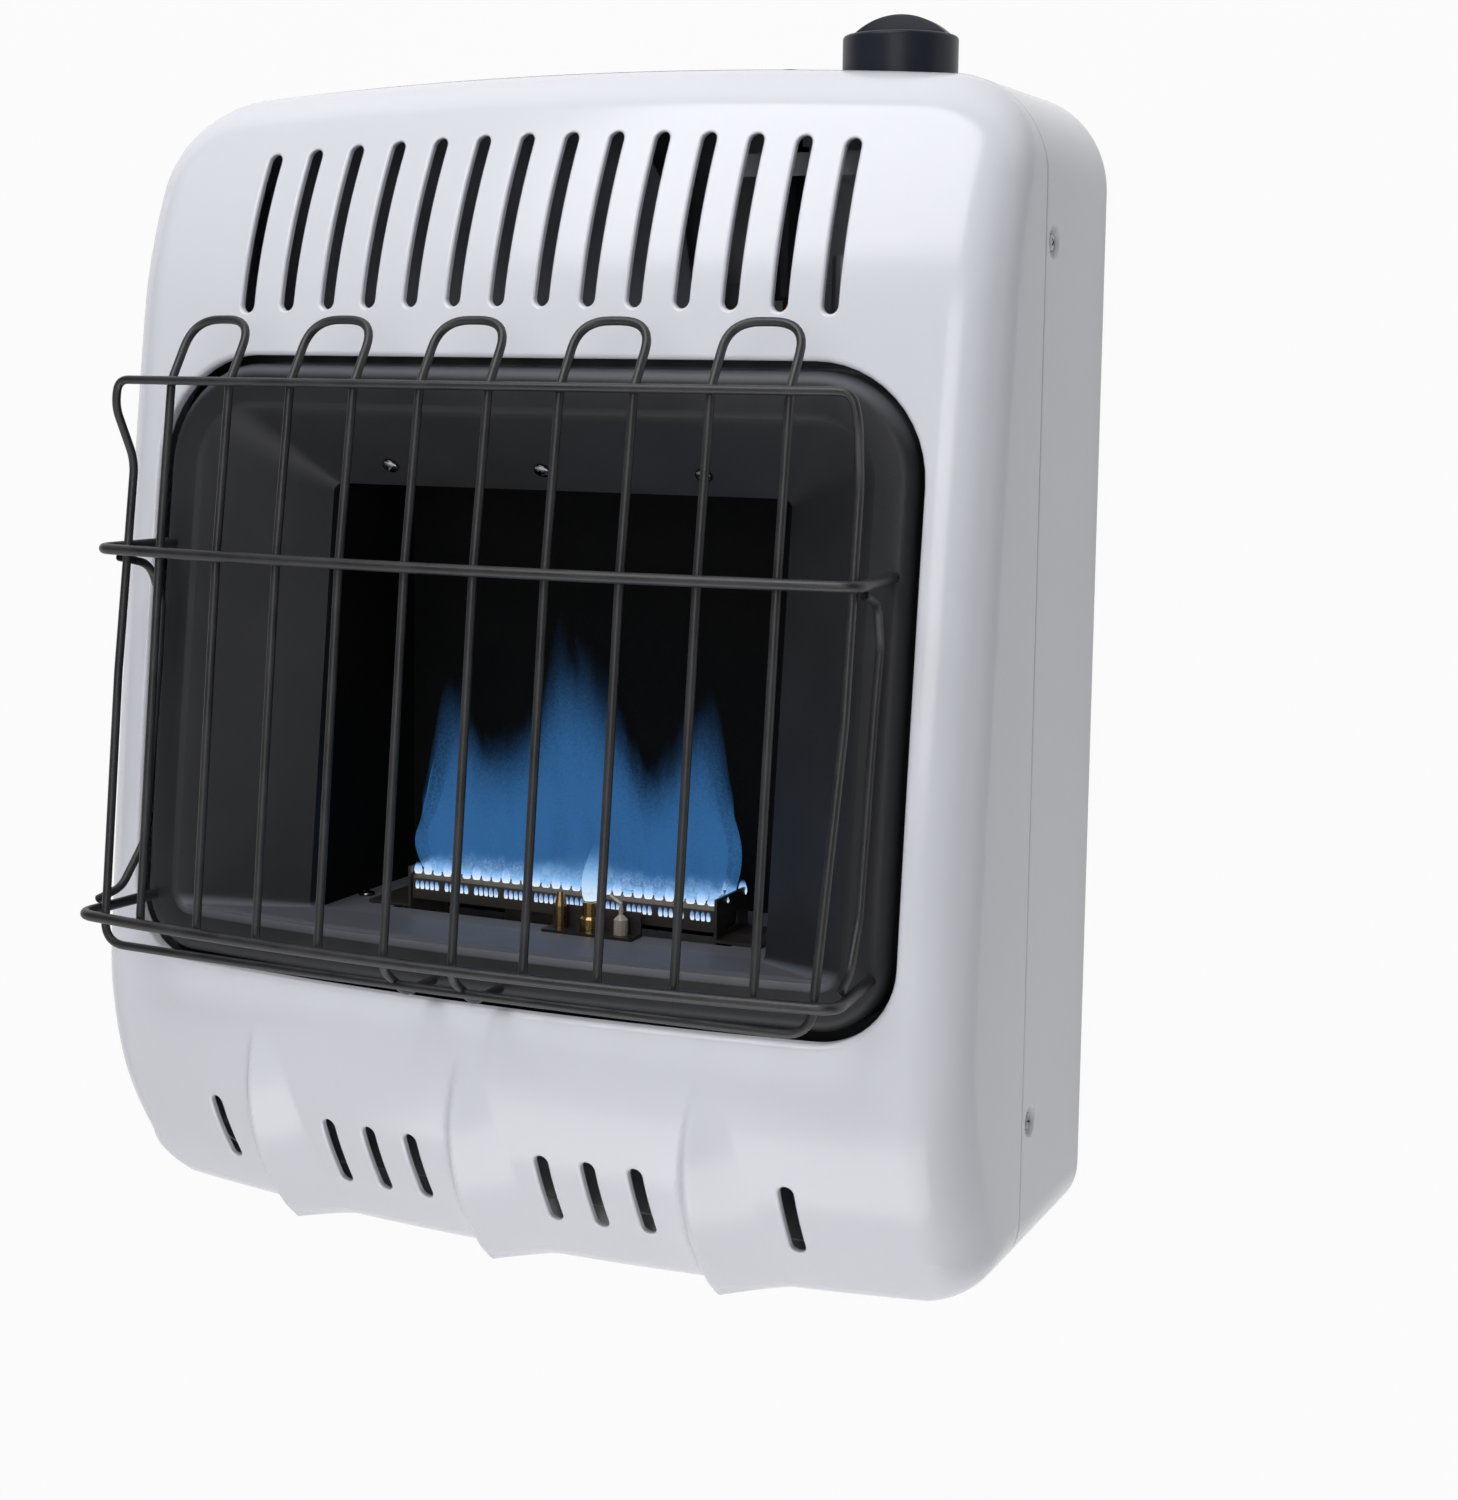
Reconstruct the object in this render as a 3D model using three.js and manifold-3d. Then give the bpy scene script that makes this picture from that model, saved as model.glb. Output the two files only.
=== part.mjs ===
// Wall mounted vent-free gas heater with an open blue-flame firebox behind a wire guard.
// Millimetres. X runs to the right seen from the front, Y runs back to the wall, Z runs up.
// Heights are written from the lowest edge of the cover, and the finished group is lowered so
// that the origin lies on the wall plane, in the middle of the back panel.
import * as THREE from 'three';
import { mergeVertices } from 'three/addons/utils/BufferGeometryUtils.js';
import Module from 'manifold-3d';

const wasm = await Module();
wasm.setup();

// ---------------------------------------------------------------- driving dimensions
const bodyWidth = 393.7;
const overallDepth = 228.6;
const overallHeight = 508;
const knobGripRise = 11.1;        // the grip above the knob's rim
const knobSkirt = 22.9;           // height of the knob's round part
const knobRim = overallHeight - knobGripRise;
const knobBase = knobRim - knobSkirt;
const crownHeight = knobBase + 13;  // middle of the arched top edge, which the knob stands in
const crownDrop = 8.8;            // how far the arch falls at the full width
const baseHeight = 3.8;           // bottom edge of the cover; the rib feet reach down to 0
const upperCornerRadius = 41;
const lowerCornerRadius = 24;
const casingDepth = 83.7;         // wall to the seam between casing and cover
const originHeight = 250;         // the wall plane point that the frame is measured from

const coverSheet = 1.2;
const fireboxSheet = 1;           // bezel, combustion box and tray
const bracketSheet = 1.2;
const clearance = 0.3;            // between pieces that touch or are screwed together

const faceBowAtBase = 10.5;       // how far the face falls back at bowReach from the centre line
const faceBowAtCrown = 2;
const bowReach = 130;
const sideRoll = 21;              // edge radius of the cover along its sides
const flankTop = 112;             // below this height the side edges widen into leaning flanks
const flankSweep = 37;            // how far back a flank reaches at the base
const crownRoll = 18;
const baseRoll = 8;

const windowHalfWidth = 172;
const windowBottom = 116.2;
const windowTop = crownHeight - 117.1;
const windowUpperRadius = 46;
const windowLowerRadius = 30;
const windowLip = 6;

const slotCount = 14;
const slotPitch = 20.14;
const slotWidth = 6.4;
const slotBottom = windowTop + 20.3;
const slotTop = crownHeight - 27.1;
const slotBottomArch = 2.7;       // how far the row falls at bowReach from the centre line
const slotTopArch = 5.5;
const ventHeights = [27.6, 58.3];
const ventWidth = 6;
const ventPlaces = [30, 50, 70, 130.4];

// depth of the cover face in front of the wall, on the centre line, at heights going up
const faceStations = [
  [baseHeight, 146], [ventHeights[0], 164.6], [ventHeights[1], 180.4], [90, 186.5],
  [windowBottom, 185.6], [windowTop - 119.9, 168], [slotBottom, 145.5],
  [slotBottom + 34.4, 135.4], [slotTop, 118.4], [crownHeight, 100],
];

const ribPlaces = [-100, 0, 100];
const ribApex = windowBottom - 20.2;
const ribHalfWidth = 17.6;
const ribRise = 9;
const ribSink = 0.4;              // the rib's margin lies this far behind the face, to blend in

const screwHeadRadius = 3.6;
const screwHeadHeight = 2;
const screwShankRadius = 1.75;
const screwHoleRadius = screwShankRadius + clearance;
const sideScrewHeights = [66.3, crownHeight - 70.3];
const sideScrewSetback = 10.9;    // behind the seam
const dimpleDepth = 2.4;
const dimpleRadius = 6.4;

const bezelGap = 3.5;             // between the window and the bezel
const bezelRecess = 2;            // bezel front behind the cover face
const bezelRoll = 6;
const bezelLand = 10;
const bezelSkirt = 24;
const openingHalfWidth = 106;
const openingBottom = windowBottom + 18.3;
const openingTop = windowTop - 53.9;
const openingDepthTop = 114;      // firebox opening leans: its top is nearer to the wall
const openingDepthBottom = 135;
const openingCollar = 8;
const openingRadius = 4;

const boxBackDepth = 46;
const boxTop = openingTop + 30;
const boxBottom = windowBottom + 3.8;
const trayThickness = 1.3;

const burnerHalfLength = 71.6;
const burnerDepth = 92;           // centre line of the burner in front of the wall
const burnerWidth = 30;
const burnerTop = openingBottom + 14.8;
const burnerHeadHeight = 12;
const mixerRadius = 11;
const mixerHeight = openingBottom - 23.5;
const mixerWall = 1;
const portCount = 13;

const knobX = 126.5;
const knobDepth = 58;
const knobRadius = 23.2;
const knobChamfer = 2.4;
const knobGripWidth = 41;
const knobGripThickness = 9;
const knobTravel = 4;             // the knob is pressed in to light the pilot
const holeMargin = 1.6;           // running gap round the knob and the igniter button

const shelfHeight = knobBase - 22;
const stemRadius = 3;
const stemFlat = 2.2;
const nutAcross = 17;
const nutHeight = 4.2;
const collarRadius = 8;
const collarHeight = 5.5;

const igniterX = 79;
const igniterBodyRadius = 7.5;
const igniterNeckRadius = 5.5;
const igniterBodyLength = 57;
const igniterNeckLength = 16;
const buttonRadius = 5.4;
const buttonTop = crownHeight + 1.2;
const buttonLift = 6;              // from the neck to the underside of the button, at rest

const regulatorX = 150;
const regulatorDepth = 44;
const regulatorRadius = 23;

const rodRadius = 2.2;
const wireRadius = 1.75;
const rodHoleX = 161.5;
const rodHoleRadius = 3;
const middleRodHeight = windowTop - 79.3;
const lowerRodHeight = windowBottom + 25.3;
const middleRodReach = overallDepth - 17.8;  // wall to the rod's axis on the centre line
const lowerRodReach = overallDepth - rodRadius;
const rodBow = 13;                // how far the rods fall back at their corners
const rodCornerX = 166.5;
const rimTopHeight = windowTop - 10.6;
const rimBottomHeight = windowBottom + 13.8;
const rimTopReach = middleRodReach - 11.8;
const rimBottomReach = overallDepth - 13.6;
const hairpinPitch = 60;
const hairpinSpan = 30;
const hairpinCount = 5;
const hairpinTop = rimTopHeight + 24.7;
const hairpinLean = 16;           // how far the loops lean back above the rim
const hookHeight = windowBottom + 5.8;           // where the middle hairpin hooks back under the bezel's lip

const halfWidth = bodyWidth / 2;
const knobSeat = new THREE.Vector3(knobX, -knobDepth, 0);

// ---------------------------------------------------------------- materials
function finish(color, roughness, metalness) {
  return new THREE.MeshStandardMaterial({ color, roughness, metalness });
}

const whiteEnamel = finish(0xe9ebee, 0.22, 0);
const charcoalPaint = finish(0x2b2c30, 0.55, 0.2);
const blackPaint = finish(0x0d0e10, 0.8, 0.1);
const blackWire = finish(0x17181a, 0.4, 0.3);
const galvanised = finish(0x9da2a6, 0.42, 0.9);
const stainless = finish(0xb9bcc0, 0.3, 0.95);
const aluminium = finish(0xbfc3c7, 0.35, 0.9);
const brass = finish(0xb58a45, 0.32, 0.9);
const blackPlastic = finish(0x1b1e24, 0.45, 0);
const ceramic = finish(0xe8e4da, 0.5, 0);
const leadInsulation = finish(0x8a2018, 0.6, 0);
const screwPlate = finish(0xc4c7ca, 0.28, 0.95);

const heater = new THREE.Group();
heater.position.z = -originHeight;

function addPiece(name, geometry, material) {
  const mesh = new THREE.Mesh(geometry, material);
  mesh.name = name;
  heater.add(mesh);
}

// ---------------------------------------------------------------- solids
function toSolid(geometry) {
  const bare = geometry.clone();
  bare.deleteAttribute('normal');
  bare.deleteAttribute('uv');
  const merged = mergeVertices(bare, 1e-4);
  return new wasm.Manifold(new wasm.Mesh({
    numProp: 3,
    vertProperties: new Float32Array(merged.attributes.position.array),
    triVerts: new Uint32Array(merged.index.array),
  }));
}

function toGeometry(solid) {
  const mesh = solid.asOriginal().simplify(0.02).getMesh();
  const geometry = new THREE.BufferGeometry();
  geometry.setAttribute('position', new THREE.BufferAttribute(mesh.vertProperties, 3));
  geometry.setIndex(new THREE.BufferAttribute(mesh.triVerts, 1));
  geometry.computeVertexNormals();
  return geometry;
}

function joined(...solids) {
  return solids.reduce((whole, next) => whole.add(next));
}

function cut(solid, ...tools) {
  return tools.reduce((whole, tool) => whole.subtract(tool), solid);
}

// a block between two corners
function block(low, high) {
  const size = high.map((value, axis) => value - low[axis]);
  const geometry = new THREE.BoxGeometry(...size);
  geometry.translate(...low.map((value, axis) => value + size[axis] / 2));
  return toSolid(geometry);
}

function flatExtrusion(length) {
  return { depth: length, bevelEnabled: false, curveSegments: 2 };
}

// a flat shape drawn in X and Z, extruded forward from a depth behind it
function extrudeForward(shape, backY, length) {
  const geometry = new THREE.ExtrudeGeometry(shape, flatExtrusion(length));
  const basis = new THREE.Matrix4().makeBasis(
    new THREE.Vector3(1, 0, 0),
    new THREE.Vector3(0, 0, 1),
    new THREE.Vector3(0, -1, 0),
  );
  geometry.applyMatrix4(basis);
  geometry.translate(0, backY, 0);
  return toSolid(geometry);
}

// a flat shape drawn in Y and Z, extruded to the right
function extrudeRight(shape, leftX, length) {
  const geometry = new THREE.ExtrudeGeometry(shape, flatExtrusion(length));
  const basis = new THREE.Matrix4().makeBasis(
    new THREE.Vector3(0, 1, 0),
    new THREE.Vector3(0, 0, 1),
    new THREE.Vector3(1, 0, 0),
  );
  geometry.applyMatrix4(basis);
  geometry.translate(leftX, 0, 0);
  return toSolid(geometry);
}

// a flat shape drawn in X and Y, extruded upward
function extrudeUp(shape, lowZ, length) {
  const geometry = new THREE.ExtrudeGeometry(shape, flatExtrusion(length));
  geometry.translate(0, 0, lowZ);
  return toSolid(geometry);
}

// a profile of [radius, height] pairs from axis to axis, turned round the Z axis
function turned(profile, segments = 16) {
  const points = profile.map(([radius, height]) => new THREE.Vector2(radius, height));
  const geometry = new THREE.LatheGeometry(points, segments);
  geometry.rotateX(Math.PI / 2);
  return toSolid(geometry);
}

function cylinder(radius, lowZ, highZ, segments = 16) {
  return turned([[0, lowZ], [radius, lowZ], [radius, highZ], [0, highZ]], segments);
}

// turns a solid made round the Z axis so that its axis points along the given direction
function aimed(solid, direction, place) {
  const turn = new THREE.Quaternion().setFromUnitVectors(
    new THREE.Vector3(0, 0, 1),
    direction.clone().normalize(),
  );
  const matrix = new THREE.Matrix4().compose(place, turn, new THREE.Vector3(1, 1, 1));
  return solid.transform(matrix.toArray());
}

function polygon(points) {
  return new THREE.Shape(points.map(([a, b]) => new THREE.Vector2(a, b)));
}

function rectangle(lowA, lowB, highA, highB) {
  return polygon([[lowA, lowB], [highA, lowB], [highA, highB], [lowA, highB]]);
}

function hexagon(acrossFlats) {
  const radius = acrossFlats / Math.sqrt(3);
  const corners = [0, 1, 2, 3, 4, 5].map((side) => side * Math.PI / 3);
  return polygon(corners.map((angle) => [radius * Math.cos(angle), radius * Math.sin(angle)]));
}

// an upright slot with half-round ends, drawn in X and Z
function slotShape(x, low, high, width) {
  const radius = width / 2;
  const shape = new THREE.Shape();
  shape.moveTo(x + radius, low + radius);
  shape.lineTo(x + radius, high - radius);
  shape.absarc(x, high - radius, radius, 0, Math.PI, false);
  shape.lineTo(x - radius, low + radius);
  shape.absarc(x, low + radius, radius, Math.PI, 2 * Math.PI, false);
  return shape;
}

// a skin through rings of points; each ring runs counter-clockwise round the loft's direction
function loft(rings, closedOnItself = false) {
  const count = rings[0].length;
  const positions = rings.flat().flatMap((point) => [point.x, point.y, point.z]);
  const faces = [];
  const spans = closedOnItself ? rings.length : rings.length - 1;
  for (let span = 0; span < spans; span += 1) {
    const near = span * count;
    const far = ((span + 1) % rings.length) * count;
    for (let side = 0; side < count; side += 1) {
      const next = (side + 1) % count;
      faces.push(near + side, near + next, far + next);
      faces.push(near + side, far + next, far + side);
    }
  }
  if (!closedOnItself) {
    addFan(positions, faces, rings[0], 0, true);
    addFan(positions, faces, rings[rings.length - 1], (rings.length - 1) * count, false);
  }
  const geometry = new THREE.BufferGeometry();
  geometry.setAttribute('position', new THREE.Float32BufferAttribute(positions, 3));
  geometry.setIndex(faces);
  return toSolid(geometry);
}

function addFan(positions, faces, ring, start, facesBack) {
  const middle = ring.reduce((sum, point) => sum.add(point), new THREE.Vector3()).divideScalar(ring.length);
  const hub = positions.length / 3;
  positions.push(middle.x, middle.y, middle.z);
  for (let side = 0; side < ring.length; side += 1) {
    const next = (side + 1) % ring.length;
    if (facesBack) {
      faces.push(hub, start + next, start + side);
    } else {
      faces.push(hub, start + side, start + next);
    }
  }
}

// ---------------------------------------------------------------- bent wire and tube
// turns a list of corners into a path whose corners are bent round a radius
function bent(corners, bendRadius, stepsPerBend = 4) {
  const path = [corners[0]];
  for (let index = 1; index < corners.length - 1; index += 1) {
    const corner = corners[index];
    const toBefore = corners[index - 1].clone().sub(corner);
    const toAfter = corners[index + 1].clone().sub(corner);
    const halfAngle = toBefore.angleTo(toAfter) / 2;
    const straight = Math.min(toBefore.length(), toAfter.length()) * 0.48;
    const setback = Math.min(bendRadius / Math.tan(halfAngle), straight);
    const start = corner.clone().addScaledVector(toBefore.normalize(), setback);
    const end = corner.clone().addScaledVector(toAfter.normalize(), setback);
    const bend = new THREE.QuadraticBezierCurve3(start, corner, end);
    const nearlyStraight = Math.PI / 2 - halfAngle < 0.1;
    path.push(...(nearlyStraight ? [corner] : bend.getPoints(stepsPerBend)));
  }
  path.push(corners[corners.length - 1]);
  return path;
}

// a round wire along a path, its section carried along without twisting
function wire(path, radius, sides = 8) {
  const rings = [];
  let across = null;
  path.forEach((point, index) => {
    const before = path[Math.max(index - 1, 0)];
    const after = path[Math.min(index + 1, path.length - 1)];
    const along = after.clone().sub(before).normalize();
    if (across === null) {
      const up = Math.abs(along.z) < 0.9 ? new THREE.Vector3(0, 0, 1) : new THREE.Vector3(1, 0, 0);
      across = up.cross(along).normalize();
    }
    across = across.clone().addScaledVector(along, -across.dot(along)).normalize();
    const other = along.clone().cross(across);
    const ring = [];
    for (let side = 0; side < sides; side += 1) {
      const angle = (side / sides) * 2 * Math.PI;
      ring.push(point.clone()
        .addScaledVector(across, radius * Math.cos(angle))
        .addScaledVector(other, radius * Math.sin(angle)));
    }
    rings.push(ring);
  });
  return loft(rings);
}

function at(x, y, z) {
  return new THREE.Vector3(x, y, z);
}

// ---------------------------------------------------------------- cover form
// cubic interpolation of the centre-line depth between the stations
function faceDepthAtCentre(z) {
  const last = faceStations.length - 1;
  const height = THREE.MathUtils.clamp(z, faceStations[0][0], faceStations[last][0]);
  let index = 0;
  while (index < last - 1 && height > faceStations[index + 1][0]) {
    index += 1;
  }
  const slopeAt = (station) => {
    const low = Math.max(station - 1, 0);
    const high = Math.min(station + 1, last);
    return (faceStations[high][1] - faceStations[low][1]) / (faceStations[high][0] - faceStations[low][0]);
  };
  const [lowZ, lowDepth] = faceStations[index];
  const [highZ, highDepth] = faceStations[index + 1];
  const span = highZ - lowZ;
  const t = (height - lowZ) / span;
  return lowDepth * (1 + 2 * t) * (1 - t) ** 2
    + slopeAt(index) * span * t * (1 - t) ** 2
    + highDepth * t * t * (3 - 2 * t)
    + slopeAt(index + 1) * span * t * t * (t - 1);
}

function faceDepth(x, z) {
  const bow = THREE.MathUtils.mapLinear(z, baseHeight, crownHeight, faceBowAtBase, faceBowAtCrown);
  return faceDepthAtCentre(z) - bow * (x / bowReach) ** 2;
}

function arc(centreX, centreZ, radius, from, to, steps) {
  const points = [];
  for (let step = 0; step <= steps; step += 1) {
    const angle = THREE.MathUtils.lerp(from, to, step / steps);
    points.push({
      x: centreX + radius * Math.cos(angle),
      z: centreZ + radius * Math.sin(angle),
      inX: -Math.cos(angle),
      inZ: -Math.sin(angle),
      progress: step / steps,
    });
  }
  return points;
}

function straight(fromX, fromZ, toX, toZ, inX, inZ, steps) {
  const points = [];
  for (let step = 1; step < steps; step += 1) {
    const t = step / steps;
    points.push({ x: THREE.MathUtils.lerp(fromX, toX, t), z: THREE.MathUtils.lerp(fromZ, toZ, t), inX, inZ });
  }
  return points;
}

const crownRadius = halfWidth ** 2 / (2 * crownDrop);
const upperCornerX = halfWidth - upperCornerRadius;
const upperCornerZ = crownHeight - crownRadius
  + Math.sqrt((crownRadius - upperCornerRadius) ** 2 - upperCornerX ** 2);
const lowerCornerX = halfWidth - lowerCornerRadius;
const lowerCornerZ = baseHeight + lowerCornerRadius;
const crownAngle = Math.asin(upperCornerX / (crownRadius - upperCornerRadius));

// how far back the side edge starts to turn at a height
function sideSweepAt(z) {
  const share = THREE.MathUtils.clamp((flankTop - z) / (flankTop - lowerCornerRadius), 0, 1);
  return THREE.MathUtils.lerp(sideRoll, flankSweep, share);
}

// the body outline seen from the front, counter-clockwise from the lower left, with the
// direction inward and the reach of the cover's edge at each point, inward and back
function bodyOutline() {
  const quarter = Math.PI / 2;
  const mix = THREE.MathUtils.lerp;
  const edged = (points, inwardOf, backOf) => points.map((point) => (
    { ...point, roll: inwardOf(point), sweep: backOf(point) }
  ));
  const side = (points) => edged(points, () => sideRoll, (point) => sideSweepAt(point.z));
  const corner = (points, reach, shareOf) => edged(
    points,
    (point) => mix(reach, sideRoll, shareOf(point)),
    (point) => mix(reach, sideSweepAt(point.z), shareOf(point)),
  );
  const onward = (point) => point.progress;
  const backward = (point) => 1 - point.progress;
  const crownCentre = crownHeight - crownRadius;
  const crownEnd = quarter - crownAngle;
  const crownArc = arc(0, crownCentre, crownRadius, crownEnd, 2 * quarter - crownEnd, 8);
  const lowerCorner = (centreX, from, to) => arc(centreX, lowerCornerZ, lowerCornerRadius, from, to, 4);
  const upperCorner = (centreX, from, to) => arc(centreX, upperCornerZ, upperCornerRadius, from, to, 4);
  const upward = straight(halfWidth, lowerCornerZ, halfWidth, upperCornerZ, -1, 0, 6);
  const downward = straight(-halfWidth, upperCornerZ, -halfWidth, lowerCornerZ, 1, 0, 6);
  const baseEdge = straight(-lowerCornerX, baseHeight, lowerCornerX, baseHeight, 0, 1, 7);
  return [
    ...edged(baseEdge, () => baseRoll, () => baseRoll),
    ...corner(lowerCorner(lowerCornerX, -quarter, 0), baseRoll, onward),
    ...side(upward),
    ...corner(upperCorner(upperCornerX, 0, crownEnd), crownRoll, backward),
    ...edged(crownArc.slice(1, -1), () => crownRoll, () => crownRoll),
    ...corner(upperCorner(-upperCornerX, 2 * quarter - crownEnd, 2 * quarter), crownRoll, onward),
    ...side(downward),
    ...corner(lowerCorner(-lowerCornerX, 2 * quarter, 3 * quarter), baseRoll, backward),
  ];
}

// a straight-sided solid with the body outline drawn in by an inset
function bodyPrism(inset, backY, frontY) {
  const ringAt = (y) => bodyOutline().map((p) => at(p.x + p.inX * inset, y, p.z + p.inZ * inset));
  return loft([ringAt(backY), ringAt(frontY)]);
}

// the whole form of the cover as a filled solid, drawn in by an inset on every side
function coverForm(inset, backY) {
  const outline = bodyOutline();
  const faceY = (x, z) => -(faceDepth(x, z) - inset);
  const rings = [outline.map((p) => at(p.x + p.inX * inset, backY, p.z + p.inZ * inset))];
  const rollSteps = 4;
  for (let step = 0; step <= rollSteps; step += 1) {
    const angle = (step / rollSteps) * Math.PI / 2;
    rings.push(outline.map((p) => {
      const drawnIn = inset + (p.roll - inset) * (1 - Math.cos(angle));
      const x = p.x + p.inX * drawnIn;
      const z = p.z + p.inZ * drawnIn;
      return at(x, faceY(x, z) + (p.sweep - inset) * (1 - Math.sin(angle)), z);
    }));
  }
  const edge = rings[rings.length - 1];
  const centreZ = (baseHeight + crownHeight) / 2;
  [0.12, 0.27, 0.46, 0.76].forEach((share) => {
    rings.push(edge.map((point) => {
      const x = THREE.MathUtils.lerp(point.x, 0, share);
      const z = THREE.MathUtils.lerp(point.z, centreZ, share);
      return at(x, faceY(x, z), z);
    }));
  });
  return loft(rings);
}

// one pressed rib: a rounded prow that grows out of the face and down to its foot
function coverRib(ribX, inset) {
  const stations = 6;
  const foot = inset;
  const rings = [];
  for (let station = 0; station <= stations; station += 1) {
    const z = THREE.MathUtils.lerp(foot, ribApex, station / stations);
    const grown = THREE.MathUtils.smoothstep(ribApex - z, 0, ribApex * 0.75);
    const reach = Math.max(ribHalfWidth * (0.25 + 0.75 * grown) - inset, 1);
    const rise = ribRise * grown;
    const ring = [at(ribX - reach, -(faceDepth(ribX - reach, z) - 4 - inset), z)];
    for (let step = 0; step <= 4; step += 1) {
      const share = THREE.MathUtils.lerp(-1, 1, step / 4);
      const x = ribX + share * reach;
      const bulge = rise * (1 - Math.abs(share) ** 1.4);
      ring.push(at(x, -(faceDepth(x, z) + bulge - ribSink - inset), z));
    }
    ring.push(at(ribX + reach, -(faceDepth(ribX + reach, z) - 4 - inset), z));
    rings.push(ring);
  }
  return loft(rings);
}

function roundedRectangle(halfWide, low, high, lowerRadius, upperRadius) {
  const quarter = Math.PI / 2;
  const lowX = halfWide - lowerRadius;
  const highX = halfWide - upperRadius;
  return [
    ...straight(-lowX, low, lowX, low, 0, 1, 6),
    ...arc(lowX, low + lowerRadius, lowerRadius, -quarter, 0, 3),
    ...straight(halfWide, low + lowerRadius, halfWide, high - upperRadius, -1, 0, 4),
    ...arc(highX, high - upperRadius, upperRadius, 0, quarter, 4),
    ...straight(highX, high, -highX, high, 0, -1, 6),
    ...arc(-highX, high - upperRadius, upperRadius, quarter, 2 * quarter, 4),
    ...straight(-halfWide, high - upperRadius, -halfWide, low + lowerRadius, 1, 0, 4),
    ...arc(-lowX, low + lowerRadius, lowerRadius, 2 * quarter, 3 * quarter, 3),
  ];
}

function windowOutline(inset) {
  return roundedRectangle(
    windowHalfWidth - inset,
    windowBottom + inset,
    windowTop - inset,
    windowLowerRadius - inset,
    windowUpperRadius - inset,
  );
}

function windowPrism(inset) {
  const ringAt = (y) => windowOutline(inset).map((p) => at(p.x, y, p.z));
  return loft([ringAt(-1), ringAt(-overallDepth)]);
}

// ---------------------------------------------------------------- screws
// a pan-head screw whose head rests on the origin and whose shank runs down the Z axis
function panScrew(shankLength) {
  return turned([
    [0, -shankLength],
    [screwShankRadius, -shankLength],
    [screwShankRadius, clearance],
    [screwHeadRadius, clearance],
    [screwHeadRadius, screwHeadHeight * 0.55],
    [0, screwHeadHeight],
  ], 8);
}

function screwAt(place, outward, shankLength) {
  return toGeometry(aimed(panScrew(shankLength), outward, place));
}

function screwHole(direction, place) {
  return aimed(cylinder(screwHoleRadius, -10, 10, 10), direction, place);
}

// ---------------------------------------------------------------- front cover
const sideScrewY = -(casingDepth - sideScrewSetback);
const tabFace = halfWidth - dimpleDepth - coverSheet - clearance;

function coverTab(side, height) {
  const inner = tabFace - coverSheet;
  const tabHalf = 14;
  const lap = 9;
  const front = -casingDepth - lap;
  const nearEdge = sideScrewY + 8;
  const xs = (low, high) => (side > 0 ? [low, high] : [-high, -low]);
  const [tabLow, tabHigh] = xs(inner, tabFace);
  const [joggleLow, joggleHigh] = xs(inner, halfWidth - coverSheet / 2);
  const tab = joined(
    block([tabLow, front, height - tabHalf], [tabHigh, nearEdge, height + tabHalf]),
    block([joggleLow, front, height - tabHalf], [joggleHigh, front + coverSheet, height + tabHalf]),
  );
  return cut(tab, screwHole(at(side, 0, 0), at(side * tabFace, sideScrewY, height)));
}

function frontCover() {
  const outer = coverForm(0, -casingDepth);
  const inner = coverForm(coverSheet, -casingDepth + 1);
  const outerRibs = ribPlaces.map((x) => coverRib(x, 0));
  const innerRibs = ribPlaces.map((x) => coverRib(x, coverSheet));
  const lip = cut(windowPrism(-coverSheet), coverForm(windowLip, -casingDepth + 2));
  const hollow = cut(joined(inner, ...innerRibs), lip);
  const shell = cut(joined(outer, ...outerRibs), hollow);
  const slots = [];
  for (let index = 0; index < slotCount; index += 1) {
    const x = (index - (slotCount - 1) / 2) * slotPitch;
    const fall = (x / bowReach) ** 2;
    const shape = slotShape(x, slotBottom - slotBottomArch * fall, slotTop - slotTopArch * fall, slotWidth);
    slots.push(extrudeForward(shape, -casingDepth - 2, overallDepth));
  }
  const vents = ventPlaces.flatMap((place) => [-place, place]).map((x) => {
    const shape = slotShape(x, ventHeights[0], ventHeights[1], ventWidth);
    return extrudeForward(shape, -casingDepth - 2, overallDepth);
  });
  const tabs = [-1, 1].flatMap((side) => sideScrewHeights.map((height) => coverTab(side, height)));
  return joined(cut(shell, windowPrism(0), ...slots, ...vents), ...tabs);
}

addPiece('front_cover', toGeometry(frontCover()), whiteEnamel);

// ---------------------------------------------------------------- rear casing
function sideDimple(side, height, radius, depth) {
  const cone = turned([[0, -depth], [radius * 0.66, -depth], [radius, 0], [radius, 3], [0, 3]], 10);
  return aimed(cone, at(side, 0, 0), at(side * halfWidth, sideScrewY, height));
}

function rearCasing() {
  const wrap = cut(
    bodyPrism(0, 0, -casingDepth + clearance),
    bodyPrism(coverSheet, 1, -casingDepth - 1),
  );
  const cups = [];
  const hollows = [];
  [-1, 1].forEach((side) => {
    sideScrewHeights.forEach((height) => {
      const cup = sideDimple(side, height, dimpleRadius + coverSheet, dimpleDepth + coverSheet);
      cups.push(cup.intersect(bodyPrism(0, 0, -casingDepth + clearance)));
      hollows.push(sideDimple(side, height, dimpleRadius, dimpleDepth));
      hollows.push(screwHole(at(side, 0, 0), at(side * halfWidth, sideScrewY, height)));
    });
  });
  const crownHole = (radius, x, segments) => (
    cylinder(radius + holeMargin, shelfHeight, overallHeight, segments).translate([x, -knobDepth, 0])
  );
  const knobHole = crownHole(knobRadius, knobX, 28);
  const buttonHole = crownHole(buttonRadius, igniterX, 14);
  const inletHole = cylinder(13, -10, 20, 16).translate([regulatorX, -regulatorDepth, 0]);
  return cut(joined(wrap, ...cups), ...hollows, knobHole, buttonHole, inletHole);
}

addPiece('rear_casing', toGeometry(rearCasing()), whiteEnamel);

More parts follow.
